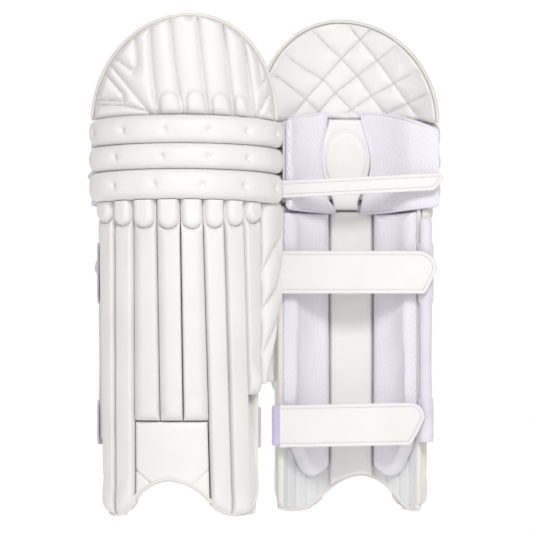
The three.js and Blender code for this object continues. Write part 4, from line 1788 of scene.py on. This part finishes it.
@dataclass(frozen=True)
class Strap:
    """One strap: its name, the sections it joins, and its outline from its root to its free end."""

    name: str
    parent: str
    root: float
    reach: float
    low: float
    high: float
    rise: float
    round_share: float
    slant_share: float
    lead: float = 11.0
    slant: float = 1.7
    binding: float = 4.6
    stitch_level: float = 2.05
    stitch_inset: float = 1.2
    ripple: float = 0.35
    rows: int = 44
    columns: int = 170

    def outline(self, share: Vec) -> tuple[Vec, Vec, Vec]:
        """Place along the strap and its lower and upper edges there.

        Args:
            share: From 0 at the root to 1 at the tip.

        Returns:
            Distance from the hinge (negative before it), lower edge and upper edge.
        """
        length = -self.root + (self.root + self.reach) * share
        height = self.high - self.low
        lift = self.rise * np.clip(length, 0, None) / self.reach
        corner = height * self.round_share
        over = np.clip((length - (self.reach - corner)) / corner, 0, 1)
        top = self.high + lift - corner * (1 - np.sqrt(np.maximum(0, 1 - over**2)))
        cutaway = height * (1 - self.round_share) * 0.97
        slanted = cutaway * self.slant_share
        under = np.clip((length - (self.reach - slanted)) / slanted, 0, 1)
        foot = self.low + lift + cutaway * (0.35 * under**2 + 0.65 * np.maximum(0, under - 0.12) / 0.88)
        return length, foot, np.maximum(top, foot + 0.6)

    def place(self, hinge: Vec, level: Vec, length: Vec, z: Vec) -> Vec:
        """Points of the strap: it runs from its hinge across the pad, leaning a little to the face.

        Args:
            hinge: The hinge's place.
            level: How far behind the strap's middle sheet.
            length: How far from the hinge.
            z: How high.

        Returns:
            The points.
        """
        lean = math.radians(self.slant)
        x = hinge[0] - length * math.cos(lean) - level * math.sin(lean)
        y = hinge[1] - length * math.sin(lean) + level * math.cos(lean)
        return np.stack(np.broadcast_arrays(x, y, z), axis=-1)

    def build(self, bench: Bench) -> None:
        """Makes the strap with its bound edge and two rows of stitches, left loose and unbent at its hinge.

        Args:
            bench: The bench that makes the pad's pieces.
        """
        hinge = bench.place.joint(f"{self.name}_strap_open")
        share = 1 - (1 - np.linspace(0, 1, self.columns)) ** 1.25
        length, foot, top = self.outline(share)
        border = np.concatenate([np.stack([length, foot], 1), np.stack([length, top], 1)[::-1]])
        up = spaced(self.rows, 0.6)[:, None]
        z = foot + (top - foot) * up
        across = length[None, :] + 0 * z
        edge = from_lines(across, z, [[tuple(place) for place in border[::3]] + [tuple(border[-1])]])
        falling = np.sqrt(np.maximum(0.16, 1 - ((edge / self.binding - 0.5) * 1.8) ** 2))
        bead = rounded(edge / (0.5 * self.binding)) * np.where(edge < 0.5 * self.binding, 1, falling)
        puff = 1.55 + 0.5 * rounded((edge - self.binding) / 9)
        half = np.where(edge < 1.02 * self.binding, 0.35 + 2.15 * bead, puff)
        wave = self.ripple * np.sin(across / 31)
        front = self.place(hinge, half + wave, across, z)
        back = self.place(hinge, wave - half, across, z)
        bend = Bend(
            self.parent,
            f"{self.name}_strap",
            tuple(hinge + (self.lead, 0, 0)),
            tuple(hinge - (self.lead, 0, 0)),
        )
        node = f"{self.name}_strap"
        bench.piece(node, slab(front, back), Finish.STRAP, bend, (node,), fill=0.3)
        ring = self.inset_route(border, self.binding + self.stitch_inset)
        rows = []
        for side in (1, -1):
            level = side * self.stitch_level + self.ripple * np.sin(ring[:, 0] / 31)
            run = self.place(hinge, level, ring[:, 0], ring[:, 1])
            rows.append(stitching(run, np.array([0.03, side, 0]), 4.0, 2.9))
        bench.piece(f"{self.name}_strap_stitches", joined(rows), Finish.THREAD, bend)

    def inset_route(self, border: Vec, inset: float) -> Vec:
        """The outline moved inwards: every point goes towards the inside at a right angle to its edge.

        Args:
            border: The outline as places along and up the strap.
            inset: How far inwards.

        Returns:
            The places that stay inside the strap.
        """
        route = even(border, 300)
        along = np.gradient(route, axis=0)
        along /= np.linalg.norm(along, axis=1, keepdims=True)
        moved = route + inset * np.stack([-along[:, 1], along[:, 0]], axis=1)
        length, foot, top = self.outline(np.linspace(0, 1, 400))
        low = np.interp(moved[:, 0], length, foot) + 0.7 * inset
        high = np.interp(moved[:, 0], length, top) - 0.7 * inset
        kept = (moved[:, 1] > low) & (moved[:, 1] < high) & (moved[:, 0] < self.reach - inset)
        return moved[kept]


@dataclass(frozen=True)
class Tab:
    """A strip of elastic that folds back from the pad's edge to a strap."""

    name: str
    body: str
    low: float
    high: float
    fold: tuple[tuple[float, float], ...]
    half: float = 0.9
    ripple: float = 0.09

    def build(self, bench: Bench) -> None:
        """A flat band that follows its fold, seen from above.

        Args:
            bench: The bench that makes the pad's pieces.
        """
        plan = even(curve(list(self.fold), 160), 90)
        way = np.gradient(plan, axis=0)
        way /= np.linalg.norm(way, axis=1, keepdims=True)
        normal = np.stack([-way[:, 1], way[:, 0]], axis=1)
        z = self.low + (self.high - self.low) * spaced(40, 0.5)[:, None]
        edge = np.minimum(z - self.low, self.high - z)
        half = self.half + self.ripple * np.sin(z / 2.4) - 0.5 * np.exp(-edge / 1.2)

        def side(sign: float) -> Vec:
            """One of the band's two surfaces."""
            x = plan[None, :, 0] + sign * half * normal[None, :, 0]
            y = plan[None, :, 1] + sign * half * normal[None, :, 1]
            return np.stack([x, y, z + 0 * x], axis=-1)

        node = f"{self.name}_tab"
        bench.piece(node, slab(side(1.0), side(-1.0)), Finish.ELASTIC, self.body, (node,))


# ------------------------------------------------------------------------------------ stage


@dataclass(frozen=True)
class Lamp:
    """A square lamp: where it stands in metres, its side and its power in watts."""

    name: str
    place: tuple[float, float, float]
    size: float
    power: float

    def build(self, aim: float) -> None:
        """Makes the lamp and turns it to face a point.

        Args:
            aim: The height of that point, which lies on the upright axis between the pads.
        """
        light = bpy.data.lights.new(self.name, "AREA")
        light.size, light.energy = self.size, self.power
        lamp = bpy.data.objects.new(self.name, light)
        way = np.array([0, 0, aim]) - self.place
        tilt = math.acos(-way[2] / np.linalg.norm(way))
        lamp.rotation_euler = (tilt, 0, math.atan2(way[1], way[0]) - math.pi / 2)
        lamp.location = self.place
        bpy.context.scene.collection.objects.link(lamp)


@dataclass
class Studio:
    """A pale floor, soft light from above and in front, and a distant camera at the pads' middle height."""

    distance: float = 10.0
    view_width: float = 0.8
    sensor: float = 36.0
    aim: float = 0.371
    ahead: float = 0.93
    aside: float = 0.40
    floor_reach: float = 4.0
    floor_drop: float = 0.0005
    floor_grey: float = 0.12
    floor_glow: float = 0.92
    lamps: tuple[Lamp, ...] = (
        Lamp("key", (0.5, -3.0, 2.4), 0.8, 58.0),
        Lamp("fill", (-0.6, 3.0, 2.0), 1.4, 34.0),
    )

    def floor(self) -> None:
        """A pale floor that glows a little, so that it stays as light as the room."""
        mesh = bpy.data.meshes.new("floor")
        signs = ((-1, -1), (1, -1), (1, 1), (-1, 1))
        corners = [(x * self.floor_reach, y * self.floor_reach, -self.floor_drop) for x, y in signs]
        mesh.from_pydata(corners, [], [(0, 1, 2, 3)])
        board = Board("floor")
        looks = {
            "Base Color": (self.floor_grey, self.floor_grey, self.floor_grey, 1),
            "Roughness": 1.0,
            "Specular IOR Level": 0.0,
            "Emission Color": (1, 1, 1, 1),
            "Emission Strength": self.floor_glow,
        }
        for key, value in looks.items():
            board.shader.inputs[key].default_value = value
        mesh.materials.append(board.material)
        floor = bpy.data.objects.new("floor", mesh)
        bpy.context.scene.collection.objects.link(floor)

    def room(self) -> bpy.types.World:
        """A white room that lights the pads most from ahead and behind, and less from elsewhere.

        Returns:
            The room.
        """
        world = bpy.data.worlds.new("room")
        world.use_nodes = True
        tree = world.node_tree
        place, split, depth, dim, path, strength = (
            tree.nodes.new(f"ShaderNode{kind}")
            for kind in ("TexCoord", "SeparateXYZ", "Math", "MapRange", "LightPath", "Math")
        )
        depth.operation = "ABSOLUTE"
        dim.interpolation_type = "SMOOTHSTEP"
        ends = {"From Min": 0.3, "From Max": 0.9, "To Min": self.aside, "To Max": self.ahead}
        for key, value in ends.items():
            dim.inputs[key].default_value = value
        strength.operation = "MAXIMUM"
        tree.links.new(place.outputs["Generated"], split.inputs[0])
        tree.links.new(split.outputs[1], depth.inputs[0])
        tree.links.new(depth.outputs[0], dim.inputs["Value"])
        tree.links.new(dim.outputs[0], strength.inputs[0])
        tree.links.new(path.outputs["Is Camera Ray"], strength.inputs[1])
        tree.links.new(strength.outputs[0], tree.nodes["Background"].inputs["Strength"])
        tree.nodes["Background"].inputs["Color"].default_value = (1, 1, 1, 1)
        return world

    def build(self) -> None:
        """Sets the floor, the light and the camera."""
        self.floor()
        scene = bpy.context.scene
        scene.world = self.room()
        scene.view_settings.view_transform = "Standard"
        for lamp in self.lamps:
            lamp.build(self.aim)
        camera_data = bpy.data.cameras.new("camera")
        camera_data.sensor_width = self.sensor
        camera_data.lens = self.sensor * self.distance / self.view_width
        camera_data.clip_end = 100.0
        camera = bpy.data.objects.new("camera", camera_data)
        camera.location = (0, -self.distance, self.aim)
        camera.rotation_euler = (math.pi / 2, 0, 0)
        scene.collection.objects.link(camera)
        scene.camera = camera


SECTIONS = (
    Ribs(),
    Instep(),
    ShinLining(),
    Back(),
    Wing(),
    KneeRolls(),
    KneeBack(),
    TopSection(),
    SeamCloths(),
)
STRAPS = (
    Strap("knee", "knee", 16.0, 233.0, 474.5, 500.8, 12.0, 0.34, 0.95),
    Strap("calf", "wing", 18.0, 225.0, 330.0, 394.5, 0.0, 0.42, 0.55),
    Strap("ankle", "shin", 5.0, 214.0, 98.0, 162.0, 4.0, 0.35, 0.6, lead=5.0),
)
TABS = (
    Tab("calf", "wing", 332.0, 392.0, ((119, -27), (122.5, -18), (120.5, -9), (110, -5.5), (100, -4.5))),
    Tab("ankle", "shin", 101.0, 161.0, ((110, -32), (117, -23), (119.5, -13.5), (116, -6.5), (103, -4.0))),
)


def main() -> None:
    """Builds both pads and the studio."""
    logging.basicConfig(level=logging.INFO, format="%(name)s: %(message)s")
    for side in ("left", "right"):
        bench = Bench(Place.of(side))
        for section in (*SECTIONS, *STRAPS, *TABS):
            section.build(bench)
        rack = frame["nodes"][f"{side}_cane_rack"]
        rack.data.materials.clear()
        rack.data.materials.append(Finish.CANE.material())
        log.info("%s pad has %d pieces", side, len(bench.made))
    Studio().build()


if __name__ == "__main__":
    main()
